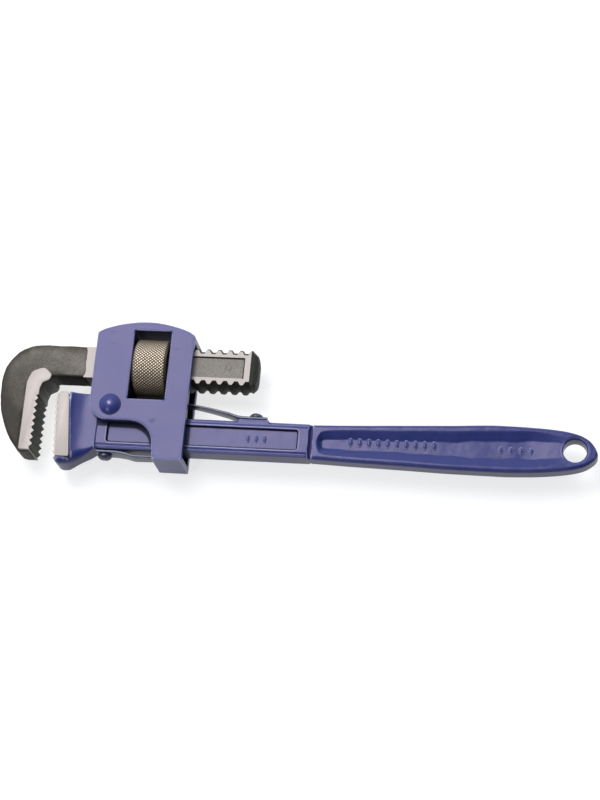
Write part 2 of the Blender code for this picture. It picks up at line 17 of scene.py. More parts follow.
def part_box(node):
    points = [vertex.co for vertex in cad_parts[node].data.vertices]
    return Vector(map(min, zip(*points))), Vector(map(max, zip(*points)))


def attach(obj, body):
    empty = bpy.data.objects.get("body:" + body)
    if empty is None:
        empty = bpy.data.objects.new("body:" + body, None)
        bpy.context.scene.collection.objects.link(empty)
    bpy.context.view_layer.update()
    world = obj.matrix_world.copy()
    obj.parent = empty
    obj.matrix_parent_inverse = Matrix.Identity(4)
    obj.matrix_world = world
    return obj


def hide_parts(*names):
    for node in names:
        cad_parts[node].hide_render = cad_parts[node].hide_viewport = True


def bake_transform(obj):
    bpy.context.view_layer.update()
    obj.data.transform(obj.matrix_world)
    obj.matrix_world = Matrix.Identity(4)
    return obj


bl_info = {
    "name": "Pipe Wrench Looks",
    "version": (1, 0, 0),
    "blender": (4, 5, 0),
    "location": "3D View > Sidebar > Wrench",
    "description": "Builds the visible surfaces of an adjustable pipe wrench round its packed frame",
    "category": "Object",
}

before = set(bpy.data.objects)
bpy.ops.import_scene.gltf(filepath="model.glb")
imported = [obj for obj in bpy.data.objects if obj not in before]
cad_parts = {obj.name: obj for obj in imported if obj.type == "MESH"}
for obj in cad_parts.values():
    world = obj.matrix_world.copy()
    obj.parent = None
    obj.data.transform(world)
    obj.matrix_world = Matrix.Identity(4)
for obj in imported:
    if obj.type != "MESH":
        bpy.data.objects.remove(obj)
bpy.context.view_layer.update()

MM = 0.001
PIN_LOW, PIN_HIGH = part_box("frame_pin")
PIVOT = (PIN_LOW + PIN_HIGH) / 2
NUT_LOW, NUT_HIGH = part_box("adjusting_nut")


def local(point):
    """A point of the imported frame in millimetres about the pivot."""
    return (Vector(point) - PIVOT) / MM


# Sizes that several pieces share
SHANK_Y = local((NUT_LOW + NUT_HIGH) / 2).y
PITCH = 5.6                          # of the thread
TOOTH_PITCH = 3.46
JAW_HALF = 9.45                      # half the width of both toothed jaws
CHEEK = 11.25                        # height of the housing's outer faces over the middle
PASSAGE_HALF = 7.5                   # half the width of the housing's tunnel and slot
SHANK_FACE = 6.9                     # height of the shank's flat faces over the middle
BAR_FACE, GRIP_FACE = 6.2, 4.9       # the same of the bar and of the grip
BAR_END = 101.0                      # where the bar meets the grip
RACK_PANEL_X, RACK_PANEL_REACH = 35.4, 29.6
PANEL_X, PANEL_REACH = 47.2, 48.2    # middle and half length of the panel in the bar
PANEL_Y, PANEL_HALF = -12.7, 5.1
HEEL_TOP, HEEL_BOTTOM = 6.4, -27.7
HANDLE_END = local(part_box("handle")[1]).x
HOLE = (231.7, -11.0, 5.8)           # hanging hole: centre and radius
THREAD_START, RACK_END = 0.8, local(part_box("hook_jaw")[1]).x


# ---- settings a user would change ---------------------------------------------------------------

def length(name, description, default, low, high):
    return FloatProperty(name=name, description=description, default=default, min=low, max=high,
                         subtype="DISTANCE", unit="LENGTH", precision=5)


def colour(name, description, default):
    return FloatVectorProperty(name=name, description=description, default=default, size=3,
                               min=0.0, max=1.0, subtype="COLOR")


def share(name, description, default):
    return FloatProperty(name=name, description=description, default=default, min=0.0, max=1.0,
                         subtype="FACTOR")


class WrenchFinish(bpy.types.PropertyGroup):
    """Colours and wear of the finishes."""

    enamel: colour("Enamel", "Body colour of the glossy enamel", (0.017, 0.023, 0.105))
    # Dark enamel for painted shade in valleys and on the handle's walls, and for dust and nicks.
    enamel_shade_and_marks: colour("Shade And Mark Enamel", "Painted shade in valleys and on walls, and dust and nicks", (0.003, 0.004, 0.025))
    primer: colour("Bare Edge", "Metal that shows where the enamel is rubbed off", (0.42, 0.4, 0.37))
    ground: colour("Ground Steel", "Freshly ground faces", (0.345, 0.297, 0.28))
    scale: colour("Forging Scale", "Untouched forged skin", (0.088, 0.074, 0.061))
    oiled: colour("Oiled Steel", "Blackened thread and tooth flanks", (0.012, 0.013, 0.009))
    knurl: colour("Knurl", "Bright tops of the knurling", (0.68, 0.53, 0.44))
    wear: share("Wear", "How far edges are rubbed and chipped", 0.35)
    gloss: share("Enamel Roughness", "Roughness of the enamel", 0.24)


class WrenchSizes(bpy.types.PropertyGroup):
    """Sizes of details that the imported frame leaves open."""

    panel_depth: length("Panel Depth", "How deep the panels of the bar are sunk", 0.0015, 0.0002, 0.002)
    scoop_depth: length("Scoop Depth", "How deep the grip is hollowed", 0.0021, 0.0005, 0.003)
    edge_radius: length("Edge Radius", "Rounding of the grip's edges", 0.0017, 0.0003, 0.003)
    cast_grain: length("Cast Unevenness", "Height of the slow waves of the forgings", 0.00009, 0.0, 0.001)
    knurl_depth: length("Knurl Depth", "Depth of the nut's diamond knurling", 0.00032, 0.0, 0.001)
    knurl_count: IntProperty(name="Knurl Count", description="Diamonds round the nut", default=58,
                             min=12, max=120)
    tooth_depth: length("Tooth Depth", "Depth of the hook's teeth", 0.0015, 0.0005, 0.003)


# ---- curves and meshes --------------------------------------------------------------------------

def arc(centre_x, centre_y, radius, start, end, step=5.0):
    """Points of an arc between two angles in degrees, both ends included."""
    count = max(2, ceil(abs(end - start) / step))
    angles = [radians(start + (end - start) * i / count) for i in range(count + 1)]
    return [(centre_x + radius * cos(a), centre_y + radius * sin(a)) for a in angles]


def smooth_line(points):
    """Function through (x, y) points, smooth and without overshoot."""
    xs, ys = np.array(points, float).T
    chords = np.diff(ys) / np.diff(xs)
    slopes = np.zeros(len(xs))
    slopes[0], slopes[-1] = chords[0], chords[-1]
    same = chords[1:] * chords[:-1] > 0
    pairs = chords[1:] + chords[:-1]
    slopes[1:-1] = np.where(same, 2 * chords[1:] * chords[:-1] / np.where(same, pairs, 1), 0)

    def line(x):
        x = np.clip(x, xs[0], xs[-1])
        i = np.clip(np.searchsorted(xs, x) - 1, 0, len(xs) - 2)
        gap = xs[i + 1] - xs[i]
        t = (x - xs[i]) / gap
        return ((1 + 2 * t) * (1 - t) ** 2 * ys[i] + t * (1 - t) ** 2 * gap * slopes[i]
                + t * t * (3 - 2 * t) * ys[i + 1] + t * t * (t - 1) * gap * slopes[i + 1])

    return line


def ramp(x, start, end):
    """0 before start, 1 after end and a smooth rise between."""
    t = np.clip((x - start) / (end - start), 0, 1)
    return t * t * (3 - 2 * t)


def stations(*spans):
    """Ascending values over spans (start, end, step), each start included."""
    values = []
    for start, end, step in spans:
        count = max(1, round((end - start) / step))
        values += [start + (end - start) * i / count for i in range(count)]
    return np.array(values + [spans[-1][1]])


def unevenness(points, size, height, seed=0):
    """Slow waves over an array of points, as on a forging that was cleaned by hand."""
    shift = Vector((seed * 7.3, seed * 3.1, seed * 5.7))
    return np.array([noise.fractal(Vector(p) / size + shift, 1.0, 2.0, 3) for p in points]) * height


def new_piece(name, mesh):
    piece = bpy.data.objects.new(name, mesh)
    bpy.context.scene.collection.objects.link(piece)
    return piece


def from_arrays(name, points, faces):
    """Piece of points in millimetres about the pivot, with its faces turned outwards."""
    mesh = bpy.data.meshes.new(name)
    mesh.from_pydata([tuple(p) for p in points], [], faces)
    work = bmesh.new()
    work.from_mesh(mesh)
    bmesh.ops.remove_doubles(work, verts=work.verts, dist=1e-5)
    bmesh.ops.recalc_face_normals(work, faces=work.faces)
    if work.calc_volume(signed=True) < 0:
        bmesh.ops.reverse_faces(work, faces=work.faces)
    work.to_mesh(mesh)
    work.free()
    return new_piece(name, mesh)


def loft(name, rings):
    """Closed skin over an array of equal rings (ring, point, xyz), both ends capped."""
    count, around = rings.shape[:2]
    index = np.arange(count * around).reshape(count, around)
    a, b = index[:-1], index[1:]
    quads = np.stack([a, np.roll(a, -1, 1), np.roll(b, -1, 1), b], -1).reshape(-1, 4).tolist()
    points = rings.reshape(-1, 3).tolist()
    for ring in (index[0], index[-1]):
        middle = len(points)
        points.append(np.mean([points[i] for i in ring], 0).tolist())
        quads += [(int(ring[i]), int(ring[(i + 1) % around]), middle) for i in range(around)]
    return from_arrays(name, points, quads)


def turned(name, profile, put, sides=64):
    """Skin of revolution of (radius, height) points; radius 0 closes an end."""
    rings = [[put(r * cos(2 * pi * i / sides), r * sin(2 * pi * i / sides), h) for i in range(sides)]
             for r, h in profile]
    return loft(name, np.array(rings))


def prism(name, outline, low, high):
    """Outline extruded along z."""
    work = bmesh.new()
    base = work.faces.new([work.verts.new((x, y, low)) for x, y in outline])
    top = bmesh.ops.extrude_face_region(work, geom=[base])["geom"]
    bmesh.ops.translate(work, vec=(0, 0, high - low),
                        verts=[v for v in top if isinstance(v, bmesh.types.BMVert)])
    bmesh.ops.recalc_face_normals(work, faces=work.faces)
    mesh = bpy.data.meshes.new(name)
    work.to_mesh(mesh)
    work.free()
    return new_piece(name, mesh)


def block(name, low, high):
    return prism(name, [(low[0], low[1]), (high[0], low[1]), (high[0], high[1]), (low[0], high[1])],
                 low[2], high[2])


def rounded(corners):
    """Outline through corners (x, y, radius)."""
    outline = []
    for i, (x, y, radius) in enumerate(corners):
        here = Vector((x, y))
        before = (Vector(corners[i - 1][:2]) - here).normalized()
        after = (Vector(corners[(i + 1) % len(corners)][:2]) - here).normalized()
        if radius == 0:
            outline.append((x, y))
            continue
        half = before.angle(after) / 2
        reach = radius * cos(half) / sin(half)
        count = max(2, round(degrees(pi - 2 * half) / 10))
        for k in range(count + 1):
            t = k / count
            p = (here + before * reach) * (1 - t) ** 2 + here * 2 * t * (1 - t)
            p += (here + after * reach) * t * t
            outline.append((p.x, p.y))
    return outline


def settle(piece):
    """Applies a piece's modifiers to its mesh."""
    graph = bpy.context.evaluated_depsgraph_get()
    mesh = bpy.data.meshes.new_from_object(piece.evaluated_get(graph), depsgraph=graph)
    piece.modifiers.clear()
    old, piece.data = piece.data, mesh
    mesh.name = piece.name
    bpy.data.meshes.remove(old)
    return piece


def combine(piece, operation, *tools):
    """Exact Boolean with other pieces, which are used up."""
    for tool in tools:
        modifier = piece.modifiers.new(tool.name, "BOOLEAN")
        modifier.object, modifier.operation, modifier.solver = tool, operation, "EXACT"
    settle(piece)
    for tool in tools:
        bpy.data.objects.remove(tool)
    return piece


def soften(piece, grain, rounds):
    """Turns a sharp solid into an even skin with rounded edges and filled valleys."""
    modifier = piece.modifiers.new("skin", "REMESH")
    modifier.mode, modifier.voxel_size = "VOXEL", grain
    modifier = piece.modifiers.new("soften", "SMOOTH")
    modifier.factor, modifier.iterations = 0.5, rounds
    return settle(piece)


def bevelled(piece, width):
    modifier = piece.modifiers.new("edges", "BEVEL")
    modifier.width, modifier.segments, modifier.limit_method = width, 2, "ANGLE"
    modifier.angle_limit = radians(32)
    return settle(piece)


def coordinates(mesh):
    points = np.zeros(len(mesh.vertices) * 3)
    mesh.vertices.foreach_get("co", points)
    return points.reshape(-1, 3)


def weather(piece, size, height, seed):
    """Moves a skin along its normals by slow waves."""
    mesh = piece.data
    normals = np.zeros(len(mesh.vertices) * 3)
    mesh.vertices.foreach_get("normal", normals)
    points = coordinates(mesh)
    points += normals.reshape(-1, 3) * unevenness(points, size, height, seed)[:, None]
    mesh.vertices.foreach_set("co", points.ravel())
    mesh.update()


def mark_edges(mesh, reach):
    """Stores how sharply the skin turns at each point: edge above 0.5, valley below it."""
    points = coordinates(mesh)
    normals = np.zeros(len(mesh.vertices) * 3)
    mesh.vertices.foreach_get("normal", normals)
    normals = normals.reshape(-1, 3)
    ends = np.zeros(len(mesh.edges) * 2, np.int64)
    mesh.edges.foreach_get("vertices", ends)
    a, b = ends.reshape(-1, 2).T
    step = points[b] - points[a]
    turn = ((normals[b] - normals[a]) * step).sum(1) / np.maximum((step ** 2).sum(1), 1e-8)
    total, weight = np.zeros(len(points)), np.zeros(len(points))
    for end in (a, b):
        np.add.at(total, end, turn)
        np.add.at(weight, end, 1)
    turn = total / np.maximum(weight, 1)
    for _ in range(2):
        spread, weight = turn.copy(), np.ones(len(points))
        for here, there in ((a, b), (b, a)):
            np.add.at(spread, here, turn[there])
            np.add.at(weight, here, 1)
        turn = spread / weight
    value = np.clip(0.5 + turn * reach, 0, 1).astype(np.float32)
    mesh.attributes.new("edge", "FLOAT", "POINT").data.foreach_set("value", value)


def finish_piece(piece, material, body, stands_for, sharp=None, reach=0.5):
    """Puts a piece drawn in millimetres in its place, and gives it its finish and its body."""
    mesh = piece.data
    mark_edges(mesh, reach)
    mesh.transform(Matrix.Translation(PIVOT) @ Matrix.Scale(MM, 4))
    mesh.materials.clear()
    mesh.materials.append(material)
    mesh.shade_smooth()
    if sharp:
        mesh.set_sharp_from_angle(angle=radians(sharp))
    if body:
        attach(piece, body)
    if stands_for:
        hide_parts(stands_for)
    return piece


# ---- shader expressions -------------------------------------------------------------------------

def set_up(tree, made, settings, sockets):
    """Fills a new node; a socket is named by its label, or as i0, i1 and so on by its place."""
    for key, value in (settings or {}).items():
        setattr(made, key, value)
    for key, value in sockets.items():
        by_place = key[0] == "i" and key[1:].isdigit()
        socket = made.inputs[int(key[1:]) if by_place else key.replace("_", " ")]
        if isinstance(value, bpy.types.NodeSocket):
            tree.links.new(value, socket)
        else:
            socket.default_value = value


class Tree:
    """Material being written; call it to add a node."""

    def __init__(self, name):
        self.material = bpy.data.materials.get(name) or bpy.data.materials.new(name)
        self.material.use_nodes = True
        self.tree = self.material.node_tree
        self.tree.nodes.clear()

    def node(self, kind, settings=None, **sockets):
        made = self.tree.nodes.new(kind)
        set_up(self.tree, made, settings, {key: value.socket if isinstance(value, Value) else value
                                           for key, value in sockets.items()})
        return made

    def value(self, kind, settings=None, output=0, **sockets):
        return Value(self, self.node(kind, settings, **sockets).outputs[output])

    def mix(self, factor, first, second, blend="MIX"):
        first, second = (v if isinstance(v, Value) else (*v, 1.0) for v in (first, second))
        settings = {"data_type": "RGBA", "blend_type": blend, "clamp_factor": True}
        return self.value("ShaderNodeMix", settings, 2, i0=factor, i6=first, i7=second)

    def ramp(self, value, start, end):
        settings = {"interpolation_type": "SMOOTHSTEP"}
        return self.value("ShaderNodeMapRange", settings, 0, Value=value, i1=start, i2=end, i3=0.0, i4=1.0)

    def lowest(self, first, second):
        return self.value("ShaderNodeMath", {"operation": "MINIMUM"}, 0, i0=first, i1=second)

    def highest(self, first, second):
        return self.value("ShaderNodeMath", {"operation": "MAXIMUM"}, 0, i0=first, i1=second)

    def far(self, first, second):
        """Length of the line with these two parts."""
        squares = first * first + second * second
        return self.value("ShaderNodeMath", {"operation": "SQRT"}, 0, i0=squares)

    def noise(self, vector, scale, detail=3.0, roughness=0.55):
        return self.value("ShaderNodeTexNoise", None, 0, Vector=vector, Scale=scale, Detail=detail,
                          Roughness=roughness)


class Value:
    """A number in a material, worked on with ordinary operators."""

    def __init__(self, tree, socket):
        self.tree, self.socket = tree, socket

    def maths(self, operation, first, second):
        return self.tree.value("ShaderNodeMath", {"operation": operation}, 0, i0=first, i1=second)

    def __add__(self, other):
        return self.maths("ADD", self, other)

    def __sub__(self, other):
        return self.maths("SUBTRACT", self, other)

    def __rsub__(self, other):
        return self.maths("SUBTRACT", other, self)

    def __mul__(self, other):
        return self.maths("MULTIPLY", self, other)

    __radd__, __rmul__ = __add__, __mul__

    def __abs__(self):
        return self.maths("ABSOLUTE", self, 0.0)


def surface(tree, colour_value, roughness, metallic, height=None, strength=0.4, **constants):
    """Principled shader and output; height in metres feeds one bump."""
    values = {"Base_Color": colour_value, "Roughness": roughness, "Metallic": metallic, **constants}
    if height is not None:
        values["Normal"] = tree.value("ShaderNodeBump", None, 0, Height=height, Strength=strength,
                                      Distance=1.0)
    shader = tree.value("ShaderNodeBsdfPrincipled", None, 0, **values)
    tree.node("ShaderNodeOutputMaterial", None, Surface=shader)
    return tree.material


def place_of(tree):
    """Object coordinates and their three parts in millimetres about the pivot."""
    point = tree.value("ShaderNodeTexCoord", None, 3)
    centred = tree.value("ShaderNodeVectorMath", {"operation": "SUBTRACT"}, 0, i0=point, i1=tuple(PIVOT))
    local_mm = tree.value("ShaderNodeVectorMath", {"operation": "SCALE"}, 0, i0=centred, Scale=1 / MM)
    parts = tree.node("ShaderNodeSeparateXYZ", None, Vector=local_mm)
    return (local_mm, *(Value(tree, parts.outputs[i]) for i in range(3)))


def stretched(tree, point, scale):
    return tree.value("ShaderNodeMapping", None, 0, Vector=point, Scale=scale)


def stored(tree, name):
    return tree.value("ShaderNodeAttribute", {"attribute_name": name}, 2)


# Dark smudges on the housing's cheeks: place, half length and half height
SMUDGES = ((-3.1, 38.9, 1.9, 0.5), (-2.4, 32.6, 2.0, 0.35), (35.8, 33.0, 0.5, 0.3), (22.6, -7.6, 2.2, 1.4),
           (9.5, -3.4, 0.5, 0.9))


def enamel(name="blue_enamel", housing=False):
    """Glossy stove enamel over a forging: painted shade in valleys, where it also pools, and on walls,
    painted highlights along edges, thin and chipped on sharp edges, with painted shade in and along the
    housing and a few dark smudges.
    """
    look = bpy.context.scene.wrench_finish
    tree = Tree(name)
    point, x, y, z = place_of(tree)
    edge = stored(tree, "edge")
    valley = tree.ramp(edge, 0.475, 0.3)
    slow = tree.noise(point, 0.06, 3.0)
    cloud = tree.noise(point, 0.35, 4.0, 0.65)
    specks = tree.noise(point, 1.1, 4.0, 0.7)
    shade = tree.mix(slow * 0.5 + cloud * 0.3, tuple(look.enamel), tuple(c * 1.4 for c in look.enamel))
    shade = tree.mix(tree.ramp(cloud, 0.56, 0.75) * 0.35, shade, (0.05, 0.035, 0.11))
    # Painted shade in the valleys, where enamel also pools.
    shade = tree.mix(valley * 0.92, shade, tuple(look.enamel_shade_and_marks))
    # Painted highlight along convex edges.
    edge_highlight = tree.ramp(edge, 0.56, 0.68)
    if not housing:
        # On the handle the painted edge highlight is kept off the hole and the tip, and a painted highlight
        # ring runs round the hole.
        from_hole = tree.far(x - HOLE[0], y - HOLE[1])
        plain = tree.ramp(from_hole, 9.0, 10.0) * tree.ramp(x, 242.2, 241.4)
        edge_highlight = edge_highlight * plain + tree.ramp(abs(from_hole - 6.8), 0.6, 0.2) * 0.2
        # Painted shade along the walls of the bar's sunk panel.
        past_wall = tree.highest(abs(x - PANEL_X) - PANEL_REACH, abs(y - PANEL_Y) - PANEL_HALF)
        shade = tree.mix(tree.ramp(abs(past_wall), 0.8, 0.3) * 0.85, shade, tuple(look.enamel_shade_and_marks))
    shade = tree.mix(edge_highlight * 0.75, shade, (0.24, 0.235, 0.39))
    if not housing:
        # Painted shade on the handle's side walls, within about 4 mm of the middle on the bar and 2 mm on the
        # grip.
        wall = tree.ramp(abs(z), 4.4, 3.4) * tree.ramp(x, 103.0, 101.0) + tree.ramp(abs(z), 2.6, 1.8)
        shade = tree.mix(tree.lowest(wall, 1.0) * 0.6, shade, tuple(look.enamel_shade_and_marks))
    dust = tree.ramp(specks, 0.68, 0.75)
    nick = tree.ramp(tree.noise(stretched(tree, point, (0.35, 1.3, 1.0)), 0.42, 2.0, 0.5), 0.735, 0.75)
    shade = tree.mix(dust * 0.45 + nick * 0.6, shade, tuple(look.enamel_shade_and_marks))
    rub = tree.ramp(edge + (tree.noise(point, 0.5, 5.0, 0.7) - 0.5) * 0.6, 1.09 - 0.15 * look.wear, 1.12)
    bare = rub * 0.8 if housing else rub * plain * 0.8
    shade = tree.mix(bare, shade, tuple(look.primer))
    roughness = slow * 0.08 + cloud * 0.05 + bare * 0.2 + look.gloss
    if housing:
        # Painted shade inside the housing's slot and on the inner walls of its window; the smudges after it
        # are real marks.
        shaft = tree.ramp(abs(z), 7.8, 7.6) * tree.ramp(y, -25.5, -25.2) * tree.ramp(y, 36.5, 36.0)
        shade_and_smudges = shaft * tree.ramp(x, -9.6, -9.0) * tree.ramp(x, 38.9, 38.3)
        window = tree.ramp(abs(x - 17.8), 10.0, 9.6) * tree.ramp(abs(y - 21.9), 18.9, 18.5)
        shade_and_smudges = shade_and_smudges + window * tree.ramp(abs(z), 11.1, 10.3) * 0.8
        for mark_x, mark_y, wide, high in SMUDGES:
            away = tree.far((x - mark_x) * (1 / wide), (y - mark_y) * (1 / high)) + (cloud - 0.5) * 2.4
            shade_and_smudges = shade_and_smudges + tree.ramp(away, 1.1, 0.4) * 0.22
    else:
        # Painted contact shadow on the bar along the outline of the housing's cheeks, and a painted shadow
        # stripe just past the housing's end.
        beyond = tree.lowest(11.0 - x, 0.0)
        along_cheek = tree.ramp(tree.far(beyond, y + 20.1), 9.7, 10.7) * tree.ramp(y, -20.1, -18.0)
        shade_and_smudges = along_cheek * tree.ramp(x, -6.8, -6.0) * tree.ramp(x, 24.0, 22.5) * 0.85
        shade_and_smudges = shade_and_smudges + tree.ramp(abs(x - 39.8), 1.6, 0.5) * 0.7
    shade = tree.mix(shade_and_smudges * 0.94, shade, (0.003, 0.003, 0.007))
    roughness = roughness + shade_and_smudges * 0.4
    peel = tree.noise(point, 0.4, 2.0) * 6e-5 + tree.noise(point, 2.2, 3.0) * 1.2e-5 - nick * 4e-5
    return surface(tree, shade, roughness, bare * 0.8, peel - bare * 4e-5, 0.5, IOR=1.37,
                   Specular_Tint=(0.95, 0.84, 1.0, 1.0))


def tooth_steel():
    """Jaw faces: pale where they are ground, with stains, and dark oily steel across the jaw's width."""
    look = bpy.context.scene.wrench_finish
    tree = Tree("jaw_steel")
    point, _, _, z = place_of(tree)
    fine = tree.noise(point, 2.2, 4.0, 0.65)
    face = tree.ramp(abs(z) + (fine - 0.5) * 0.3, 9.2, 9.38)
    lines = tree.noise(stretched(tree, point, (0.25, 9.0, 1.5)), 1.0, 3.0, 0.6)
    blotch = tree.noise(point, 0.22, 4.0, 0.6)
    bright = tree.mix(tree.ramp(blotch, 0.42, 0.7) * 0.5, tuple(look.ground), (0.34, 0.29, 0.27))
    bright = tree.mix(tree.ramp(fine, 0.52, 0.75) * 0.45, bright, (0.25, 0.22, 0.2))
    rust = tree.ramp(tree.noise(point, 0.35, 5.0, 0.7), 0.6, 0.72)
    bright = tree.mix(rust * 0.4, bright, (0.34, 0.19, 0.11))
    streak = tree.noise(stretched(tree, point, (2.0, 2.0, 0.3)), 1.0, 3.0, 0.6)
    dark = tree.mix(streak, (0.014, 0.018, 0.013), (0.075, 0.085, 0.068))
    dark = tree.mix(tree.ramp(stored(tree, "edge"), 0.85, 1.0) * 0.35, dark, (0.4, 0.38, 0.34))
    shade = tree.mix(face, dark, bright)
    roughness = 0.5 + streak * 0.15 - face * 0.1 + rust * 0.1
    return surface(tree, shade, roughness, 0.12 + face * 0.1, streak * 3e-5 + lines * face * 2e-5, 0.5,
                   IOR=1.36)


def forged_steel():
    """Forging scale: brown-grey, fine-grained and rubbed brighter on its high spots, with painted shade in
    its valleys, under the shank, in the throat and towards its rim and lower left.
    """
    look = bpy.context.scene.wrench_finish
    tree = Tree("forged_steel")
    point, x, y, z = place_of(tree)
    grain = tree.noise(point, 1.9, 6.0, 0.72)
    slow = tree.noise(point, 0.12, 4.0, 0.6)
    pits = tree.value("ShaderNodeTexVoronoi", {"feature": "F1"}, 0, Vector=point, Scale=1.3)
    edge = stored(tree, "edge")
    shade = tree.mix(tree.ramp(grain, 0.32, 0.68), tuple(c * 0.5 for c in look.scale),
                     tuple(c * 1.7 for c in look.scale))
    shade = tree.mix(tree.ramp(slow, 0.4, 0.7) * 0.45, shade, (0.17, 0.15, 0.13))
    oily = tree.ramp(tree.noise(point, 0.25, 4.0, 0.6) * 6.0 - abs(z), -1.5, 0.5)
    shade = tree.mix(oily * 0.55, shade, (0.03, 0.026, 0.019))
    # Painted shade on the underside below the shank, nearly black.
    under = tree.ramp(y, SHANK_Y - 6.6, SHANK_Y - 8.0) * tree.ramp(x, -33.0, -28.0)
    shade = tree.mix(under * 0.95, shade, (0.006, 0.006, 0.005))
    # Painted shade in the valleys of the forging.
    shade = tree.mix(tree.ramp(edge, 0.47, 0.25) * 0.9, shade, (0.016, 0.014, 0.012))
    # Painted shade, darker and browner towards the outer rim of the hook and towards its lower left.
    across = tree.lowest(x + 39.3, 0.0)
    from_top = 19.5 - tree.far(across, y - 12.5)
    from_left = 48.0 - tree.far(x + 10.8, y - 8.0)
    rim = tree.ramp(tree.lowest(from_top, from_left) + (slow - 0.5) * 3.0, 5.0, 0.4)
    low = tree.ramp(y + (x + 40.0) * 0.8 + (slow - 0.5) * 12.0, 42.0, 2.0)
    shade = tree.mix(low * 0.85, shade, (0.42, 0.4, 0.36), "MULTIPLY")
    shade = tree.mix(rim * 0.85, shade, (0.26, 0.21, 0.14), "MULTIPLY")
    # Painted shade in the throat of the hook.
    throat = tree.ramp(tree.far(x + 30.5, y - 12.5), 8.5, 3.0)
    shade = tree.mix(throat * 0.8, shade, (0.014, 0.012, 0.01))
    shade = tree.mix(tree.ramp(edge + (grain - 0.5) * 0.4, 0.9, 1.0) * 0.4, shade, (0.3, 0.27, 0.24))
    height = grain * 1.6e-4 + tree.ramp(pits, 0.0, 0.35) * 4e-5
    return surface(tree, shade, 0.5 + grain * 0.2 + under * 0.3, 0.1, height, 0.6, IOR=1.38)


def rack_steel():
    """Threaded shank: pale ground faces, a brown-grey sunk panel, blackened thread and a rough end, with
    painted shade inside the housing, along two walls of the panel and in the thread's valleys.
    """
    look = bpy.context.scene.wrench_finish
    tree = Tree("rack_steel")
    point, x, y, z = place_of(tree)
    grain = tree.noise(point, 2.2, 6.0, 0.72)
    blotch = tree.noise(point, 0.3, 4.0, 0.6)
    face = tree.ramp(abs(z) + (grain - 0.5) * 0.3, 6.68, 6.82)
    face = face * tree.ramp(x, 68.7, 68.45)
    # Painted shade where the shank runs inside the housing, from about x 1 to 35.
    inside_housing_shade = tree.ramp(abs(x - 18.0) + (blotch - 0.5) * 3.0, 17.5, 15.0)
    out, in_line = abs(y - SHANK_Y), abs(x - RACK_PANEL_X)
    panel = tree.ramp(out, 5.3, 5.15) * tree.ramp(in_line, RACK_PANEL_REACH, RACK_PANEL_REACH - 0.15)
    # Painted shade along the panel's upper wall and its end wall at x 65.
    rim = tree.ramp(abs(y - (SHANK_Y + 5.3)), 0.5, 0.2)
    rim = rim * tree.ramp(in_line, RACK_PANEL_REACH + 0.4, RACK_PANEL_REACH)
    rim = tree.highest(rim, tree.ramp(abs(x - 65.1), 0.5, 0.2) * tree.ramp(out, 5.7, 5.4))
    lines = tree.noise(stretched(tree, point, (0.3, 8.0, 1.0)), 1.0, 3.0, 0.6)
    dark = tree.mix(tree.ramp(grain, 0.4, 0.8), tuple(look.oiled), (0.05, 0.047, 0.035))
    dark = tree.mix(tree.ramp(stored(tree, "edge"), 0.75, 0.95) * 0.5, dark, (0.28, 0.26, 0.22))
    bright = tree.mix(tree.ramp(blotch, 0.45, 0.7) * 0.45, tuple(look.ground), (0.34, 0.29, 0.26))
    bright = tree.mix(tree.ramp(grain, 0.52, 0.72) * 0.5, bright, (0.22, 0.19, 0.17))
    floor = tree.mix(tree.ramp(grain, 0.3, 0.7), (0.09, 0.078, 0.068), (0.25, 0.22, 0.2))
    shade = tree.mix(face, dark, bright)
    shade = tree.mix(panel, shade, floor)
    shade = tree.mix(rim * 0.92, shade, (0.012, 0.011, 0.01))
    shade = tree.mix(inside_housing_shade * 0.93, shade, (0.02, 0.018, 0.015))
    # Painted shade in the thread's valleys.
    valley = tree.ramp(stored(tree, "edge"), 0.4, 0.2)
    shade = tree.mix(valley * 0.8, shade, (0.012, 0.011, 0.01))
    roughness = 0.55 - face * 0.1 + grain * 0.14
    return surface(tree, shade, roughness, 0.1 + face * 0.1, lines * 1.6e-5 * face + grain * 5e-5, 0.5,
                   IOR=1.36)


def knurled_steel():
    """Nut: bright diamond tops over oily grooves."""
    look = bpy.context.scene.wrench_finish
    tree = Tree("knurled_steel")
    point = place_of(tree)[0]
    crest = stored(tree, "crest")
    blotch = tree.noise(point, 0.3, 4.0, 0.6)
    fine = tree.noise(point, 3.0, 4.0, 0.7)
    level = crest + (fine - 0.5) * 0.25
    shade = tree.mix(tree.ramp(level, 0.2, 0.62), (0.006, 0.005, 0.003), (0.14, 0.11, 0.065))
    shade = tree.mix(tree.ramp(level, 0.55, 0.98), shade, tuple(look.knurl))
    shade = tree.mix(tree.ramp(blotch, 0.5, 0.75) * 0.3, shade, (0.2, 0.16, 0.1))
    return surface(tree, shade, 0.42 - crest * 0.14 + blotch * 0.1, 0.6, fine * 2e-5, 0.5, IOR=1.6)


def spring_steel():
    """Leaf springs and rivets: thin worn blue-grey paint, rubbed to bright steel along the edges."""
    tree = Tree("spring_steel")
    point = place_of(tree)[0]
    streak = tree.noise(stretched(tree, point, (0.25, 1.0, 4.0)), 1.0, 4.0, 0.65)
    edge = stored(tree, "edge")
    shade = tree.mix(streak, (0.012, 0.013, 0.035), (0.055, 0.06, 0.11))
    rub = tree.ramp(edge + (streak - 0.5) * 0.5, 0.72, 0.95)
    shade = tree.mix(rub * 0.75, shade, (0.5, 0.48, 0.45))
    # Painted shade in the valleys.
    shade = tree.mix(tree.ramp(edge, 0.4, 0.15) * 0.6, shade, (0.01, 0.01, 0.02))
    return surface(tree, shade, 0.3 + streak * 0.2, 0.35 + rub * 0.4, streak * 2e-5, 0.4,
                   Coat_Weight=0.2, Coat_Roughness=0.25)


# ---- geometry node pieces -----------------------------------------------------------------------

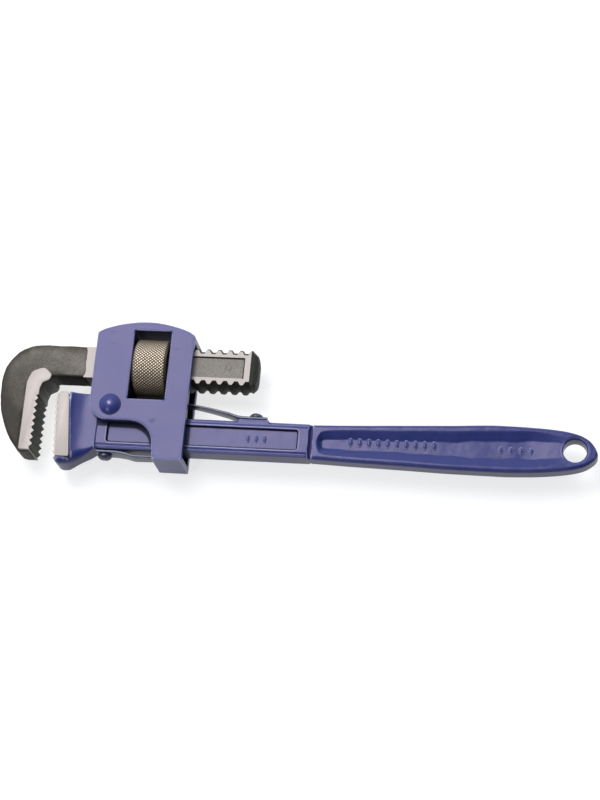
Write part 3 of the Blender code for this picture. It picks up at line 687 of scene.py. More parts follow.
class Nodes:
    """Geometry node tree being written."""

    def __init__(self, name, **inputs):
        self.tree = bpy.data.node_groups.new(name, "GeometryNodeTree")
        self.tree.interface.new_socket("Geometry", in_out="OUTPUT", socket_type="NodeSocketGeometry")
        for label, (kind, default) in inputs.items():
            socket = self.tree.interface.new_socket(label.replace("_", " "), in_out="INPUT",
                                                    socket_type="NodeSocket" + kind)
            socket.default_value = default
        self.source = self.tree.nodes.new("NodeGroupInput")

    def given(self, label):
        return self.source.outputs[label]

    def node(self, kind, settings=None, output=0, **sockets):
        made = self.tree.nodes.new(kind)
        set_up(self.tree, made, settings, sockets)
        return made.outputs[output]

    def maths(self, operation, first, second=0.0):
        return self.node("ShaderNodeMath", {"operation": operation}, 0, i0=first, i1=second)

    def close(self, geometry, material):
        """Ends the tree in plain geometry with its material."""
        plain = self.node("GeometryNodeRealizeInstances", None, 0, Geometry=geometry)
        finished = self.node("GeometryNodeSetMaterial", None, 0, Geometry=plain, Material=material)
        target = self.tree.nodes.new("NodeGroupOutput")
        self.tree.links.new(finished, target.inputs[0])
        return self.tree


def grown_by(name, tree, **values):
    """Plain mesh piece made by a geometry node tree."""
    piece = new_piece(name, bpy.data.meshes.new(name))
    modifier = piece.modifiers.new("nodes", "NODES")
    modifier.node_group = tree
    for item in tree.interface.items_tree:
        if item.in_out == "INPUT" and item.name.replace(" ", "_") in values:
            modifier[item.identifier] = values[item.name.replace(" ", "_")]
    return settle(piece)


def knurl_nodes(material):
    """Ring turned from its section, with two crossing sets of slanted grooves on its rim."""
    g = Nodes("knurled_nut", Radius=("Float", 14.7), Bore=("Float", 11.6), Half_Width=("Float", 8.1),
              Chamfer=("Float", 1.3), Depth=("Float", 0.3), Count=("Int", 58))
    radius, bore, half = g.given("Radius"), g.given("Bore"), g.given("Half Width")
    chamfer, depth, count = g.given("Chamfer"), g.given("Depth"), g.given("Count")
    wall = g.maths("SUBTRACT", radius, bore)
    section = g.node("GeometryNodeCurvePrimitiveQuadrilateral", {"mode": "RECTANGLE"}, 0,
                     i0=wall, i1=g.maths("MULTIPLY", half, 2.0))
    section = g.node("GeometryNodeFilletCurve", {"mode": "POLY"}, 0, Curve=section, Radius=chamfer, Count=1)
    section = g.node("GeometryNodeResampleCurve", {"mode": "LENGTH"}, 0, Curve=section, Length=0.2)
    rail = g.node("GeometryNodeCurvePrimitiveCircle", {"mode": "RADIUS"}, 0, Resolution=420,
                  Radius=g.maths("MULTIPLY", g.maths("ADD", radius, bore), 0.5))
    ring = g.node("GeometryNodeCurveToMesh", None, 0, Curve=rail, Profile_Curve=section)
    parts = g.tree.nodes.new("ShaderNodeSeparateXYZ")
    g.tree.links.new(g.node("GeometryNodeInputPosition"), parts.inputs[0])
    x, y, z = parts.outputs
    out = g.maths("SQRT", g.maths("ADD", g.maths("MULTIPLY", x, x), g.maths("MULTIPLY", y, y)))
    turn = g.maths("DIVIDE", g.maths("ARCTAN2", y, x), 2 * pi)
    along = g.maths("DIVIDE", z, g.maths("MULTIPLY", radius, 2 * pi))
    level = None
    for lean in (1.0, -1.0):
        phase = g.maths("MULTIPLY", g.maths("ADD", turn, g.maths("MULTIPLY", along, lean * 0.85)), count)
        wave = g.maths("ABSOLUTE", g.maths("SINE", g.maths("MULTIPLY", phase, pi)))
        level = wave if level is None else g.maths("MULTIPLY", level, wave)
    level = g.maths("POWER", level, 0.6)
    rim = g.node("ShaderNodeMapRange", {"interpolation_type": "SMOOTHSTEP"}, 0, Value=out,
                 i1=g.maths("SUBTRACT", radius, 0.5), i2=g.maths("SUBTRACT", radius, 0.1), i3=0.0, i4=1.0)
    cut = g.maths("MULTIPLY", g.maths("MULTIPLY", g.maths("SUBTRACT", 1.0, level), rim), depth)
    radial = g.node("ShaderNodeVectorMath", {"operation": "NORMALIZE"}, 0,
                    i0=g.node("ShaderNodeCombineXYZ", None, 0, X=x, Y=y))
    inward = g.node("ShaderNodeVectorMath", {"operation": "SCALE"}, 0, i0=radial,
                    Scale=g.maths("MULTIPLY", cut, -1.0))
    ring = g.node("GeometryNodeSetPosition", None, 0, Geometry=ring, Offset=inward)
    crest = g.maths("ADD", g.maths("MULTIPLY", level, rim),
                    g.maths("MULTIPLY", g.maths("SUBTRACT", 1.0, rim), 0.45))
    ring = g.node("GeometryNodeStoreNamedAttribute", {"data_type": "FLOAT", "domain": "POINT"}, 0,
                  Geometry=ring, Name="crest", Value=crest)
    return g.close(ring, material)


def tooth_nodes(name, material):
    """Row of equal ridges across a jaw, each a bar turned on its edge."""
    g = Nodes(name, Count=("Int", 8), Pitch=("Float", TOOTH_PITCH), Depth=("Float", 1.5),
              Width=("Float", 19.0))
    pitch, depth = g.given("Pitch"), g.given("Depth")
    row = g.node("GeometryNodeMeshLine", {"mode": "OFFSET"}, 0, Count=g.given("Count"),
                 Offset=g.node("ShaderNodeCombineXYZ", None, 0, Y=pitch))
    bar = g.node("GeometryNodeMeshCylinder", {"fill_type": "NGON"}, 0, Vertices=4, Side_Segments=10, i3=1.0,
                 Depth=g.given("Width"))
    size = g.node("ShaderNodeCombineXYZ", None, 0, X=depth, Y=g.maths("MULTIPLY", pitch, 0.5), Z=1.0)
    teeth = g.node("GeometryNodeInstanceOnPoints", None, 0, Points=row, Instance=bar, Scale=size)
    return g.close(teeth, material)


def bar_nodes(material):
    """Row of short raised bars with rounded ends: plain grip marks without any lettering."""
    g = Nodes("raised_bars", Count=("Int", 9), Pitch=("Float", 4.0), Long=("Float", 3.2),
              Thick=("Float", 0.45))
    row = g.node("GeometryNodeMeshLine", {"mode": "OFFSET"}, 0, Count=g.given("Count"),
                 Offset=g.node("ShaderNodeCombineXYZ", None, 0, X=g.given("Pitch")))
    bead = g.node("GeometryNodeMeshUVSphere", None, 0, Segments=18, Rings=12, Radius=1.0)
    thick = g.given("Thick")
    size = g.node("ShaderNodeCombineXYZ", None, 0, X=thick,
                  Y=g.maths("MULTIPLY", g.given("Long"), 0.5), Z=g.maths("MULTIPLY", thick, 0.62))
    beads = g.node("GeometryNodeInstanceOnPoints", None, 0, Points=row, Instance=bead, Scale=size)
    return g.close(beads, material)


# ---- handle -------------------------------------------------------------------------------------

HANDLE_TOP = ((-27.0, 6.7), (4.0, 6.7), (6.5, 6.0), (14.0, 2.4), (22.5, -3.2), (25.5, -3.8), (64.4, -3.8),
              (65.6, -2.6), (79.6, -2.6), (80.8, -3.8), (101.0, -3.8))
HANDLE_UNDER = ((-23.2, -30.7), (-20.3, -30.3), (-16.0, -28.2), (-10.0, -24.4), (-6.6, -21.9), (-5.0, -21.5),
                (101.0, -21.5))
GRIP_TOP = ((101.0, -3.8), (120.0, -3.1), (146.0, -1.9), (170.0, -0.8), (195.0, 0.4), (213.0, 0.0),
            (225.0, -0.9), (232.5, -2.4), (238.2, -5.2), (241.6, -9.2))
GRIP_UNDER = ((101.0, -21.6), (121.0, -22.3), (146.0, -22.9), (171.0, -23.6), (196.0, -23.8), (210.0, -23.3),
              (221.0, -22.3), (230.0, -20.9), (236.6, -18.9), (240.8, -16.0))
END_Y = -12.7
CHIN_X, CHIN_RADIUS = -23.2, 3.9
THICKNESS = ((-27.0, 9.4), (-21.2, 9.4), (-20.7, 9.2), (-19.3, 8.4), (-17.3, 7.7), (-14.3, 7.0),
             (-12.3, 6.75), (-10.3, 6.66), (-8.4, 6.68), (-7.0, 6.72), (-6.3, 6.35), (39.0, 6.3),
             (41.0, BAR_FACE), (100.3, BAR_FACE), (101.5, GRIP_FACE), (243.0, GRIP_FACE))
SCOOP_MIDDLE = ((104.0, -13.0), (146.0, -12.8), (171.0, -12.7), (196.0, -12.0), (213.0, -11.4),
                (236.0, -11.0))
SCOOP_RIM = ((104.6, 0.5), (105.4, 3.6), (107.2, 5.7), (112.0, 6.6), (121.0, 7.1), (146.0, 7.9), (171.0, 8.9),
             (196.0, 9.5), (208.0, 9.6), (217.0, 8.8), (224.0, 7.4), (230.0, 5.2), (233.0, 1.0))
SCOOP_FLOOR = ((104.6, 0.2), (107.2, 1.8), (112.0, 2.5), (146.0, 2.8), (171.0, 3.6), (196.0, 4.4),
               (213.0, 4.3), (224.0, 3.6), (233.0, 0.5))


def grip_edge(points):
    """Edge of the grip as a function of x, round right up to the end of the handle."""
    line = smooth_line([(0.0, END_Y)] + [(sqrt(HANDLE_END - x), y) for x, y in reversed(points)])
    return lambda x: line(np.sqrt(np.maximum(HANDLE_END - x, 0)))


def handle_edges(x):
    """Lower and upper edge of the handle at each x."""
    top = np.where(x < BAR_END, smooth_line(HANDLE_TOP)(x), grip_edge(GRIP_TOP)(x))
    chin = np.sqrt(np.maximum(CHIN_RADIUS ** 2 - np.minimum(x - CHIN_X, 0) ** 2, 0))
    head = smooth_line(HANDLE_UNDER)(x) + CHIN_RADIUS - chin
    return np.where(x < BAR_END, head, grip_edge(GRIP_UNDER)(x)), top


def handle_relief(x, y, sizes):
    """How far the face lies under the plain thickness: panel, groove and hollowed grip."""
    beyond = np.maximum(np.abs(x - PANEL_X) - PANEL_REACH + 1.2, 0)
    above = np.maximum(np.abs(y - PANEL_Y) - PANEL_HALF + 1.2, 0)
    inside = 1.2 - np.hypot(beyond, above)
    inside = np.where((beyond > 0) | (above > 0), inside, 1.2)
    relief = sizes.panel_depth / MM * ramp(inside, -0.6, 0.45)
    relief += 0.35 * ramp(np.abs(y - PANEL_Y), PANEL_HALF + 1.1, PANEL_HALF + 2.0) * (x > -6.3) * (x < 100.5)
    relief += 0.75 * np.exp(-((x - 101.9) / 0.5) ** 2)
    middle, rim = smooth_line(SCOOP_MIDDLE)(x), smooth_line(SCOOP_RIM)(x)
    floor = smooth_line(SCOOP_FLOOR)(x)
    floor = floor * (1 + 0.12 * np.sin(x * 0.32) * np.sin(x * 0.11 + 1.0))
    off = np.abs(y - middle)
    slope = np.clip((rim - off) / np.maximum(rim - floor, 0.1), 0, 1)
    slope = np.where(slope < 0.12, slope * slope / 0.24, slope - 0.06) / 0.94
    slope = np.where(slope > 0.82, 0.82 + 0.18 * (1 - (1 - np.minimum((slope - 0.82) / 0.18, 1)) ** 2), slope)
    depth = sizes.scoop_depth / MM * ramp(x, 104.4, 107.6) * (1 - 0.82 * ramp(x, 206.0, 232.0))
    return relief + depth * slope * (x > 104.5) * (1 - ramp(x, 232.5, 234.5))


def handle_rows(x, first, last, grip):
    """Heights of the rows on the flat of the face, close together along the walls of panel and scoop."""
    middle, rim, floor = (smooth_line(table)(x) for table in (SCOOP_MIDDLE, SCOOP_RIM, SCOOP_FLOOR))
    least, rows, before = 0.04, [], np.zeros_like(x)
    plan = ((-PANEL_HALF - 0.8, -rim - 0.2, 6), (-PANEL_HALF + 0.6, -floor, 9), (PANEL_HALF - 0.6, floor, 18),
            (PANEL_HALF + 0.8, rim + 0.2, 9), (0, 0, 6))
    for i, (in_bar, in_grip, count) in enumerate(plan):
        line = (PANEL_Y + in_bar) * (1 - grip) + (middle + in_grip) * grip
        part = np.clip((line - first) / (last - first), before + least, 1 - least * (4 - i))
        part = part if i < 4 else np.ones_like(x)
        for k in range(1, count + 1):
            t = before + (part - before) * k / count
            rows.append(first + (last - first) * t)
        before = part
    return np.array(rows[:-1])


def handle_skin(sizes):
    """Handle drawn as sections across its length, each a rounded bar with the face's relief."""
    x = stations((-27.0, -24.0, 0.5), (-24, -21, 0.6), (-21.0, -18, 0.25), (-18, -8.0, 0.8),
                 (-8.0, -5.8, 0.2), (-5.8, -1.8, 0.8), (-1.8, -0.2, 0.16), (-0.2, 64, 0.8), (64, 66, 0.25),
                 (66, 79, 0.9), (79, 81.2, 0.25), (81.2, 94.6, 0.9), (94.6, 96.2, 0.16), (96.2, 100, 0.7),
                 (100, 112, 0.2), (112, 214, 0.75), (214, 236, 0.4), (236, 241, 0.22), (241, 242.4, 0.1),
                 (242.4, 242.79, 0.03))
    low, high = handle_edges(x)
    size = np.minimum(sizes.edge_radius / MM, (high - low) / 2.02)
    bar_corner = 1.25
    grip = ramp(x, 98, 106)
    upper = np.minimum(bar_corner + (size - bar_corner) * grip, (high - low) / 2.02)
    head = 1 - ramp(x, -16, -5)
    lower = np.minimum(upper + head * 3.2, (high - low) / 2.02)
    half = smooth_line(THICKNESS)(x)
    back = np.clip(x - (HANDLE_END - sizes.edge_radius / MM), 0, sizes.edge_radius / MM)
    half = half - sizes.edge_radius / MM + np.sqrt((sizes.edge_radius / MM) ** 2 - back ** 2)
    corner = np.sin(np.linspace(0, pi / 2, 9))
    lower_arc = np.array([low + lower * (1 - c) for c in corner[::-1]])
    lower_drop = np.array([lower * (1 - cos(asin(c))) for c in corner[::-1]])
    flat_y = handle_rows(x, low + lower, high - upper, grip)
    upper_arc = np.array([high - upper + upper * c for c in corner])
    upper_drop = np.array([upper * (1 - cos(asin(c))) for c in corner])
    y = np.concatenate([lower_arc, flat_y, upper_arc])
    drop = np.concatenate([lower_drop, flat_y * 0, upper_drop])
    grid_x = np.broadcast_to(x, y.shape)
    relief = handle_relief(grid_x, y, sizes)
    near = half - drop - relief
    points = np.stack([grid_x, y, near], -1)
    waves = unevenness(points.reshape(-1, 3), 9.0, sizes.cast_grain / MM * 1.2, 1).reshape(near.shape)
    near = near + waves
    far = -(half - drop - relief) - waves
    quarters = (0.25, 0.5, 0.75)
    ring_y = np.concatenate([y, [high] * 3, y[::-1], [low] * 3])
    ring_z = np.concatenate([near, [near[-1] * (1 - t) + far[-1] * t for t in quarters],
                             far[::-1], [far[0] * (1 - t) + near[0] * t for t in quarters]])
    rings = np.stack([np.broadcast_to(x, ring_y.shape), ring_y, ring_z], -1).transpose(1, 0, 2)
    return loft("handle_body", rings)


def heel_line(y):
    """x of the heel jaw's back edge at a height."""
    return -22.2 + (HEEL_TOP - y) / (HEEL_TOP - HEEL_BOTTOM) * 3.9


class WRENCH_OT_handle(bpy.types.Operator):
    """Forged and enamelled handle with its sunk panels, hollowed grip and hanging hole"""

    bl_idname = "wrench.handle"
    bl_label = "Handle"

    def execute(self, context):
        sizes = context.scene.wrench_sizes
        finish = enamel()
        bars = bar_nodes(finish)
        body = handle_skin(sizes)
        gap = 0.25
        seat = prism("seat", [(-40, HEEL_TOP + 5), (-40, HEEL_BOTTOM - gap),
                              (heel_line(HEEL_BOTTOM) + gap, HEEL_BOTTOM - gap),
                              (heel_line(HEEL_TOP + 5) + gap, HEEL_TOP + 5)], -20, 20)
        x, y, radius = HOLE
        flare = 1.1
        rim = GRIP_FACE - 0.35
        side = [(radius + flare * (1 - cos(a)), rim - flare + flare * sin(a) if a < pi / 2 else rim)
                for a in np.linspace(0, pi / 2, 7)] + [(radius + flare + 3, rim + 2.6)]
        profile = [(r, -h) for r, h in reversed(side)] + side
        hole = turned("hole", profile, lambda a, b, h: (x + a, y + b, h), 72)
        combine(body, "DIFFERENCE", seat, hole)
        finish_piece(body, finish, "handle", "handle", sharp=50, reach=0.28)
        for name, count, pitch, long, thick, start, middle in (
                ("grip_marks", 10, 4.6, 5.2, 1.35, 121.5, -11.6),
                ("end_marks", 4, 5.0, 4.2, 1.35, 195.5, -12.0),
                ("panel_marks", 3, 4.2, 4.8, 1.15, 70.4, -12.7)):
            in_bar = start < BAR_END
            depth = BAR_FACE - sizes.panel_depth / MM if in_bar else GRIP_FACE - sizes.scoop_depth / MM
            for side, face in (("near", 1), ("far", -1)):
                marks = grown_by(f"{name}_{side}", bars, Count=count, Pitch=pitch, Long=long,
                                 Thick=thick)
                marks.data.transform(Matrix.Translation((start, middle, face * depth)))
                finish_piece(marks, finish, "handle", None, reach=0.2)
        return {"FINISHED"}


# ---- frame housing ------------------------------------------------------------------------------

class WRENCH_OT_frame_housing(bpy.types.Operator):
    """Enamelled frame housing with its window, and the domed pivot pin"""

    bl_idname = "wrench.frame_housing"
    bl_label = "Frame Housing"

    def execute(self, context):
        sizes = context.scene.wrench_sizes
        finish = enamel("pin_enamel", housing=True)
        housing_finish = enamel("housing_enamel", housing=True)
        crown = (14.4, 44.8 - 57.3, 57.3)
        left = degrees(np.arctan2(1, (-9.6 - crown[0]) / crown[2]))
        right = degrees(np.arctan2(1, (38.1 - crown[0]) / crown[2]))
        outline = arc(*crown, right, left, 1.5) + [(-10.8, 38.6)]
        outline += arc(-1.6, 1.3, 9.2, 180, 270, 4) + arc(11.0, -20.1, 12.2, 90, 0, 4)
        outline += [(24.2, -27.9), (39.1, -27.9), (39.3, 38.6)]
        body = prism("frame_body", outline, -CHEEK, CHEEK)
        window = prism("window", rounded([(8.3, 3.6, 0.7), (27.3, 3.6, 0.7), (27.3, 40.2, 0.7),
                                          (8.3, 40.2, 0.7)]), -20, 20)
        tunnel = block("tunnel", (-30, SHANK_Y - 11.9, -PASSAGE_HALF), (60, SHANK_Y + 11.9, PASSAGE_HALF))
        slot = prism("slot", [(-30, -25.1), (60, -25.1), (60, SHANK_Y), (33.4, SHANK_Y), (33.4, 6.7),
                              (26.1, 6.7), (26.1, 7.7), (-30, 7.7)], -PASSAGE_HALF, PASSAGE_HALF)
        combine(body, "DIFFERENCE", window, tunnel, slot)
        soften(body, 0.42, 3)
        weather(body, 11.0, sizes.cast_grain / MM, 3)
        finish_piece(body, housing_finish, "frame", "frame_housing", reach=0.3)

        reach, height, face = 5.5, 2.2, CHEEK + 0.05
        ball = (reach ** 2 + height ** 2) / (2 * height)
        sweep = asin(reach / ball)
        dome = [(ball * sin(sweep * t), face + 0.5 + height - ball + ball * cos(sweep * t))
                for t in np.linspace(1, 0, 16)]
        dome[-1] = (0.001, dome[-1][1])
        profile = [(3.4, face - 1.5), (5.2, face - 0.3), (5.42, face + 0.1)] + dome
        for name, side in (("pivot_dome_near", 1), ("pivot_dome_far", -1)):
            pin = turned(name, profile, lambda a, b, h: (a, b, side * h), 72)
            finish_piece(pin, finish, "frame", "frame_pin", reach=0.2)
        return {"FINISHED"}


# ---- hook jaw -----------------------------------------------------------------------------------

HOOK_LEFT, HOOK_BOTTOM = -58.8, -25.7
TOOTH_TOP = 4.0
LAND = ((-44.6, -25.0, 1.0), (-38.6, -25.0, 0), (-39.3, -24.0, 0), (-39.3, 3.2, 0), (-37.7, 4.3, 0),
        (-37.7, 7.4, 1.0), (-36.6, 10.8, 1.6), (-33.3, 12.4, 1.4), (-32.2, 15.2, 1.9), (-36.6, 19.0, 3.4),
        (-42.6, 16.6, 3.6), (-44.8, 11.0, 6.0))


def hook_outline():
    top, bottom = SHANK_Y + 8.5, SHANK_Y - 8.5
    outline = [(-14.9, bottom), (-15.2, SHANK_Y), (-15.0, top)]
    outline += arc(HOOK_LEFT + 19.5, top - 19.5, 19.5, 90, 180, 4)
    tip = degrees(asin((8.0 - HOOK_BOTTOM) / 48.0))
    outline += arc(HOOK_LEFT + 48.0, 8.0, 48.0, 180, 180 + tip, 3)
    outline += [(-40.2, HOOK_BOTTOM), (-40.2, 4.0)]
    return outline + arc(-31.2, 7.0, bottom - 7.0, 170, 90, 5)


def thread_radius(x, angle):
    """Radius of the thread at a place along the shank and round it."""
    phase = (x - THREAD_START - angle / (2 * pi) * PITCH) / PITCH
    off = np.abs(phase - np.round(phase)) * PITCH
    return 11.3 - 1.5 * np.clip((off - 0.65) / 1.25, 0, 1)


def rack_skin():
    """Threaded shank as sections across it: round thread above and below, flat faces with a panel."""
    x = stations((-16.6, 0.4, 0.4), (0.4, 5.4, 0.2), (5.4, 6.4, 0.1), (6.4, 64.2, 0.2), (64.2, 65.2, 0.1),
                 (65.2, 68.0, 0.2), (68.0, 72.4, 0.11))
    back = np.maximum(RACK_END - x, 0)
    wander = 0.25 * np.sin(back * 2.3) * (back < 4.0)
    limit = wander + np.interp(back, [0, 0.3, 0.9, 1.6, 2.6, 3.8, 4.1, 60],
                               [1.0, 4.6, 7.6, 9.2, 10.0, 10.5, 13, 40])
    face = np.interp(back, [0, 0.5, 1.4, 2.6, 4.0, 4.15, 60],
                     [0.8, 3.9, 5.2, 5.9, 6.3, SHANK_FACE, SHANK_FACE])
    count = 17
    across = np.linspace(1, -1, count)
    rim = []
    for sign in (1, -1):
        for part in across * sign:
            z = face * part
            angle = np.arctan2(z, sign * 10.5)
            thread = np.where(x < 0.7, np.hypot(8.2, z), thread_radius(x, angle))
            radius = np.minimum(thread, limit)
            rim.append((sign * np.sqrt(np.maximum(radius ** 2 - z ** 2, 0.01)), z))
    upper, lower = rim[:count], rim[count:]
    wall_lines = np.arange(4.9, 5.7, 0.15)
    lines = np.array([*-wall_lines[::-1], *np.linspace(-4.3, 4.3, 15), *wall_lines])

    def down(first, last):
        """Heights across a face from one rim to the other, close together at the panel's walls."""
        bottom, top = np.minimum(first, last), np.maximum(first, last)
        rows = [bottom + (lines[0] - bottom) * t for t in (0.25, 0.5, 0.75)]
        rows += [np.full_like(bottom, y) for y in lines]
        rows += [lines[-1] + (top - lines[-1]) * t for t in (0.25, 0.5, 0.75)]
        rows = [np.clip(row, bottom * 0.995, top * 0.995) for row in rows]
        return rows if first[0] < last[0] else rows[::-1]

    def sunk(y, sign):
        inside = np.minimum(5.28 - np.abs(y), RACK_PANEL_REACH - np.abs(x - RACK_PANEL_X))
        ring = 0.35 * np.exp(-((np.hypot(x - 57.5, y - 0.2) - 1.5) / 0.4) ** 2)
        return sign * (face - (0.8 + ring) * ramp(inside, -0.16, 0.16))

    ring = upper + [(y, sunk(y, -1)) for y in down(upper[-1][0], lower[0][0])]
    ring += lower + [(y, sunk(y, 1)) for y in down(lower[-1][0], upper[0][0])]
    ys, zs = (np.array([r[i] for r in ring]) for i in (0, 1))
    rings = np.stack([np.broadcast_to(x, ys.shape), SHANK_Y + ys, zs], -1).transpose(1, 0, 2)
    return loft("hook_shank", rings)


class WRENCH_OT_hook_jaw(bpy.types.Operator):
    """Forged hook with its ground and toothed land, and its threaded shank"""

    bl_idname = "wrench.hook_jaw"
    bl_label = "Hook Jaw"

    def execute(self, context):
        sizes = context.scene.wrench_sizes
        forging = prism("hook_forging", hook_outline(), -7.1, 7.1)
        skirt = prism("skirt", rounded([(x - 1.0 if x < -44 else x - 0.1, min(y, 18.2), r)
                                        for x, y, r in LAND]), -8.4, 8.4)
        combine(forging, "UNION", skirt)
        soften(forging, 0.42, 48)
        weather(forging, 6.0, sizes.cast_grain / MM * 2.2, 5)
        finish_piece(forging, forged_steel(), "hook", "hook_jaw", reach=0.3)

        jaw_finish = tooth_steel()
        land = bevelled(prism("hook_land", rounded(LAND), -JAW_HALF, JAW_HALF), 0.18)
        finish_piece(land, jaw_finish, "hook", None, sharp=40, reach=0.25)
        depth = sizes.tooth_depth / MM
        teeth = grown_by("hook_teeth", tooth_nodes("hook_tooth_row", jaw_finish), Count=8,
                         Pitch=TOOTH_PITCH, Depth=depth + 0.1, Width=18.86)
        foot = TOOTH_TOP - 7.5 * TOOTH_PITCH
        teeth.data.transform(Matrix.Translation((-39.4, foot, 0)))
        finish_piece(teeth, jaw_finish, "hook", None, sharp=30, reach=0.25)

        shank = rack_skin()
        finish_piece(shank, rack_steel(), "hook", None, sharp=38, reach=0.22)
        return {"FINISHED"}


# ---- heel jaw -----------------------------------------------------------------------------------

class WRENCH_OT_heel_jaw(bpy.types.Operator):
    """Ground heel jaw insert with its row of teeth"""

    bl_idname = "wrench.heel_jaw"
    bl_label = "Heel Jaw"

    def execute(self, context):
        outline = rounded([(-28.0, HEEL_TOP, 2.4), (-25.6, HEEL_BOTTOM, 0.5), (-18.3, HEEL_BOTTOM, 1.2),
                           (-22.2, HEEL_TOP, 2.2)])
        jaw = bevelled(prism("heel_insert", outline, -JAW_HALF, JAW_HALF), 0.35)
        finish = tooth_steel()
        finish_piece(jaw, finish, "handle", "heel_jaw", sharp=40, reach=0.25)
        teeth = grown_by("heel_teeth", tooth_nodes("heel_tooth_row", finish), Count=9,
                         Pitch=TOOTH_PITCH, Depth=1.0, Width=18.8)
        lean = np.arctan2(2.6, HEEL_TOP - HEEL_BOTTOM)
        turn = Matrix.Rotation(lean, 4, "Z")
        teeth.data.transform(Matrix.Translation((-25.75, HEEL_BOTTOM + 1.9, 0)) @ turn)
        finish_piece(teeth, finish, "handle", None, sharp=30, reach=0.25)
        return {"FINISHED"}


# ---- nut ----------------------------------------------------------------------------------------

class WRENCH_OT_adjusting_nut(bpy.types.Operator):
    """Knurled adjusting nut on the threaded shank"""

    bl_idname = "wrench.adjusting_nut"
    bl_label = "Adjusting Nut"

    def execute(self, context):
        sizes = context.scene.wrench_sizes
        finish = knurled_steel()
        low, high = local(NUT_LOW), local(NUT_HIGH)
        low.x -= 1.1
        nut = grown_by("knurled_nut", knurl_nodes(finish), Radius=(high.y - low.y) / 2 - 0.02, Bore=11.65,
                       Half_Width=(high.x - low.x) / 2, Chamfer=1.2, Depth=sizes.knurl_depth / MM,
                       Count=sizes.knurl_count)
        onto_shank = Matrix.Translation(((low.x + high.x) / 2, SHANK_Y, 0)) @ Matrix.Rotation(pi / 2, 4, "Y")
        nut.data.transform(onto_shank)
        finish_piece(nut, finish, "nut", "adjusting_nut", sharp=60, reach=0.2)
        return {"FINISHED"}


# ---- springs ------------------------------------------------------------------------------------

def leaf(name, line, x, thick, wide):
    """Leaf spring along a middle line, thinned and narrowed towards its tip."""
    rings = []
    y = line(x)
    lean = np.gradient(y, x)
    for px, py, slope, t, w in zip(x, y, lean, thick, wide):
        normal = np.array((-slope, 1.0)) / sqrt(1 + slope * slope)
        ring = []
        radius = t * 0.32
        for cx, cz, start in ((1, 1, 0), (-1, 1, 90), (-1, -1, 180), (1, -1, 270)):
            for a in np.linspace(start, start + 90, 5):
                out = cx * (t / 2 - radius) + radius * cos(radians(a))
                side = cz * (w - radius) + radius * sin(radians(a))
                ring.append((px + normal[0] * out, py + normal[1] * out, side))
        rings.append(ring)
    return loft(name, np.array(rings))


class WRENCH_OT_springs(bpy.types.Operator):
    """Two leaf springs with their rivets"""

    bl_idname = "wrench.springs"
    bl_label = "Springs"

    def execute(self, context):
        finish = spring_steel()
        foot = -2.6 + 0.3 + 0.7
        x = stations((29.5, 68.0, 0.5), (68.0, 79.0, 0.5))
        line = smooth_line([(29.5, 5.4), (38.0, 4.6), (48.0, 2.9), (58.0, 0.7), (66.0, foot + 0.15),
                            (70.0, foot), (79.0, foot)])
        thick = 1.0 + 0.4 * ramp(x, 45, 68)
        wide = 2.5 + 2.1 * (x - 29.5) / 38.5
        upper = leaf("upper_leaf", line, x, thick, np.minimum(wide, 4.6))
        finish_piece(upper, finish, None, "upper_spring", sharp=50, reach=0.2)
        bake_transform(upper)

        foot, rest = -21.5 - 0.3 - 0.7, -25.1 + 0.3 + 0.6
        x = stations((-6.0, 37.0, 0.5))
        line = smooth_line([(-6.0, foot), (2.5, foot - 0.05), (8.0, -23.1), (14.0, rest - 0.1), (24.0, rest),
                            (37.0, rest)])
        wide = np.minimum(4.6, 4.6 - 0.8 * (x - 2.5) / 34.5)
        lower = leaf("lower_leaf", line, x, 1.3 - 0.2 * ramp(x, 0, 30), wide)
        finish_piece(lower, finish, None, "lower_spring", sharp=50, reach=0.2)
        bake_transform(lower)

        for name, node, px, face, sign in (("upper_rivet", "upper_spring_rivet", 72.9, -2.6, 1),
                                           ("lower_rivet", "lower_spring_rivet", -2.0, 21.5, -1)):
            seat = face + 2.3
            dome = [(3.6 * sin(a), seat + 2.4 * cos(a)) for a in np.linspace(pi / 2, 0, 12)]
            dome[-1] = (0.001, dome[-1][1])
            profile = [(1.4, seat - 2.0), (3.0, seat - 0.3), (3.55, seat - 0.1)] + dome
            rivet = turned(name, profile, lambda a, b, h: (px + a, sign * h, b), 48)
            finish_piece(rivet, finish, "handle", node, reach=0.2)
        return {"FINISHED"}


# ---- stage --------------------------------------------------------------------------------------

CAMERA_PLACE = (0.1516, -0.3376, 0.9879)
CAMERA_AXES = ((0.98865, 0.08851, -0.12141), (-0.04294, 0.94081, 0.33621), (0.14398, -0.32718, 0.93393))


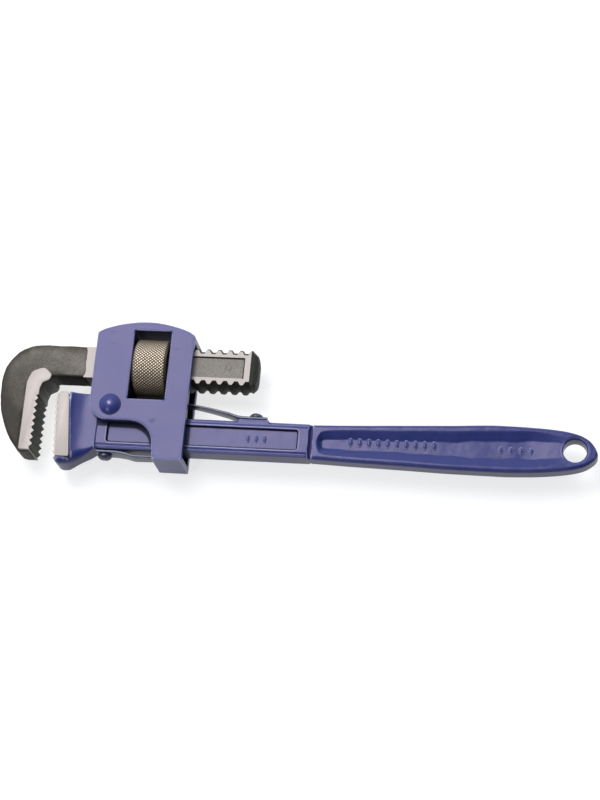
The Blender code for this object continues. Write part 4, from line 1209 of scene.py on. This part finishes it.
class WRENCH_OT_stage(bpy.types.Operator):
    """Pale floor that glows, but for a painted shadow round the housing's window; soft boxes and the camera
    """

    bl_idname = "wrench.stage"
    bl_label = "Stage"

    def execute(self, context):
        scene = context.scene
        size = 6.0
        work = bmesh.new()
        work.faces.new([work.verts.new((x * size, y * size, -0.0002))
                        for x, y in ((-1, -1), (1, -1), (1, 1), (-1, 1))])
        mesh = bpy.data.meshes.new("floor")
        work.to_mesh(mesh)
        work.free()
        floor = new_piece("floor", mesh)
        tree = Tree("pale_floor")
        point, x, y, _ = place_of(tree)
        fleck = tree.noise(point, 0.02, 3.0)
        # The floor glows evenly but fades out round the housing's window: a painted shadow seen through the
        # window.
        lit = tree.ramp(tree.far(x - 18.0, y - 13.0), 12.0, 20.0)
        floor.data.materials.append(surface(tree, tree.mix(fleck * 0.3, (0.3, 0.3, 0.3), (0.28, 0.28, 0.28)),
                                            0.8, 0.0, Specular_IOR_Level=0.05,
                                            Emission_Color=tree.mix(lit, (0.0, 0.0, 0.0), (1.0, 1.0, 1.0)),
                                            Emission_Strength=0.72))

        world = bpy.data.worlds.new("studio")
        scene.world = world
        world.use_nodes = True
        nodes, links = world.node_tree.nodes, world.node_tree.links
        aim = nodes.new("ShaderNodeTexCoord")
        turn = nodes.new("ShaderNodeVectorMath")
        turn.operation, turn.inputs[1].default_value = "DOT_PRODUCT", (-0.32, 0.88, 0.35)
        level = nodes.new("ShaderNodeMapRange")
        level.interpolation_type = "SMOOTHSTEP"
        for index, value in ((1, -0.1), (2, 0.75), (3, 0.05), (4, 1.45)):
            level.inputs[index].default_value = value
        links.new(aim.outputs["Generated"], turn.inputs[0])
        links.new(turn.outputs["Value"], level.inputs[0])
        links.new(level.outputs[0], nodes["Background"].inputs[1])
        nodes["Background"].inputs[0].default_value = (0.82, 0.93, 1.0, 1)

        for name, place, width, height, power in (
                ("over_box", (-0.28, 0.33, 0.93), 0.48, 0.55, 8.2),
                ("front_lamp", (-0.5, -0.6, 0.93), 0.12, 0.12, 2.6)):
            lamp = bpy.data.lights.new(name, "AREA")
            lamp.shape, lamp.size, lamp.size_y, lamp.energy = "RECTANGLE", width, height, power
            holder = bpy.data.objects.new(name, lamp)
            holder.location = place
            holder.rotation_euler = Vector(place).to_track_quat("Z", "Y").to_euler()
            scene.collection.objects.link(holder)

        camera = bpy.data.objects.new("camera", bpy.data.cameras.new("camera"))
        camera.data.lens, camera.data.sensor_width, camera.data.sensor_fit = 93.6, 36.0, "AUTO"
        camera.data.clip_start, camera.data.clip_end = 0.05, 20.0
        matrix = Matrix.Identity(4)
        for column, axis in enumerate(CAMERA_AXES):
            for row in range(3):
                matrix[row][column] = axis[row]
        matrix.translation = CAMERA_PLACE
        camera.matrix_world = matrix
        scene.collection.objects.link(camera)
        scene.camera = camera
        scene.view_settings.view_transform = "Standard"
        return {"FINISHED"}


# ---- panel and running --------------------------------------------------------------------------

OPERATORS = (WRENCH_OT_stage, WRENCH_OT_handle, WRENCH_OT_frame_housing, WRENCH_OT_hook_jaw,
             WRENCH_OT_heel_jaw, WRENCH_OT_adjusting_nut, WRENCH_OT_springs)


class WRENCH_PT_panel(bpy.types.Panel):
    """Settings and pieces of the wrench"""

    bl_label = "Pipe Wrench"
    bl_idname = "WRENCH_PT_panel"
    bl_space_type = "VIEW_3D"
    bl_region_type = "UI"
    bl_category = "Wrench"

    def draw(self, context):
        for group in (context.scene.wrench_sizes, context.scene.wrench_finish):
            for name in group.__annotations__:
                self.layout.prop(group, name)
        for operator in OPERATORS:
            self.layout.operator(operator.bl_idname)


CLASSES = (WrenchFinish, WrenchSizes, *OPERATORS, WRENCH_PT_panel)


def register():
    for made in CLASSES:
        bpy.utils.register_class(made)
    bpy.types.Scene.wrench_finish = PointerProperty(type=WrenchFinish)
    bpy.types.Scene.wrench_sizes = PointerProperty(type=WrenchSizes)


def unregister():
    del bpy.types.Scene.wrench_sizes
    del bpy.types.Scene.wrench_finish
    for made in reversed(CLASSES):
        bpy.utils.unregister_class(made)


def main():
    register()
    for operator in OPERATORS:
        getattr(bpy.ops.wrench, operator.bl_idname.split(".")[1])()


if __name__ == "__main__":
    main()
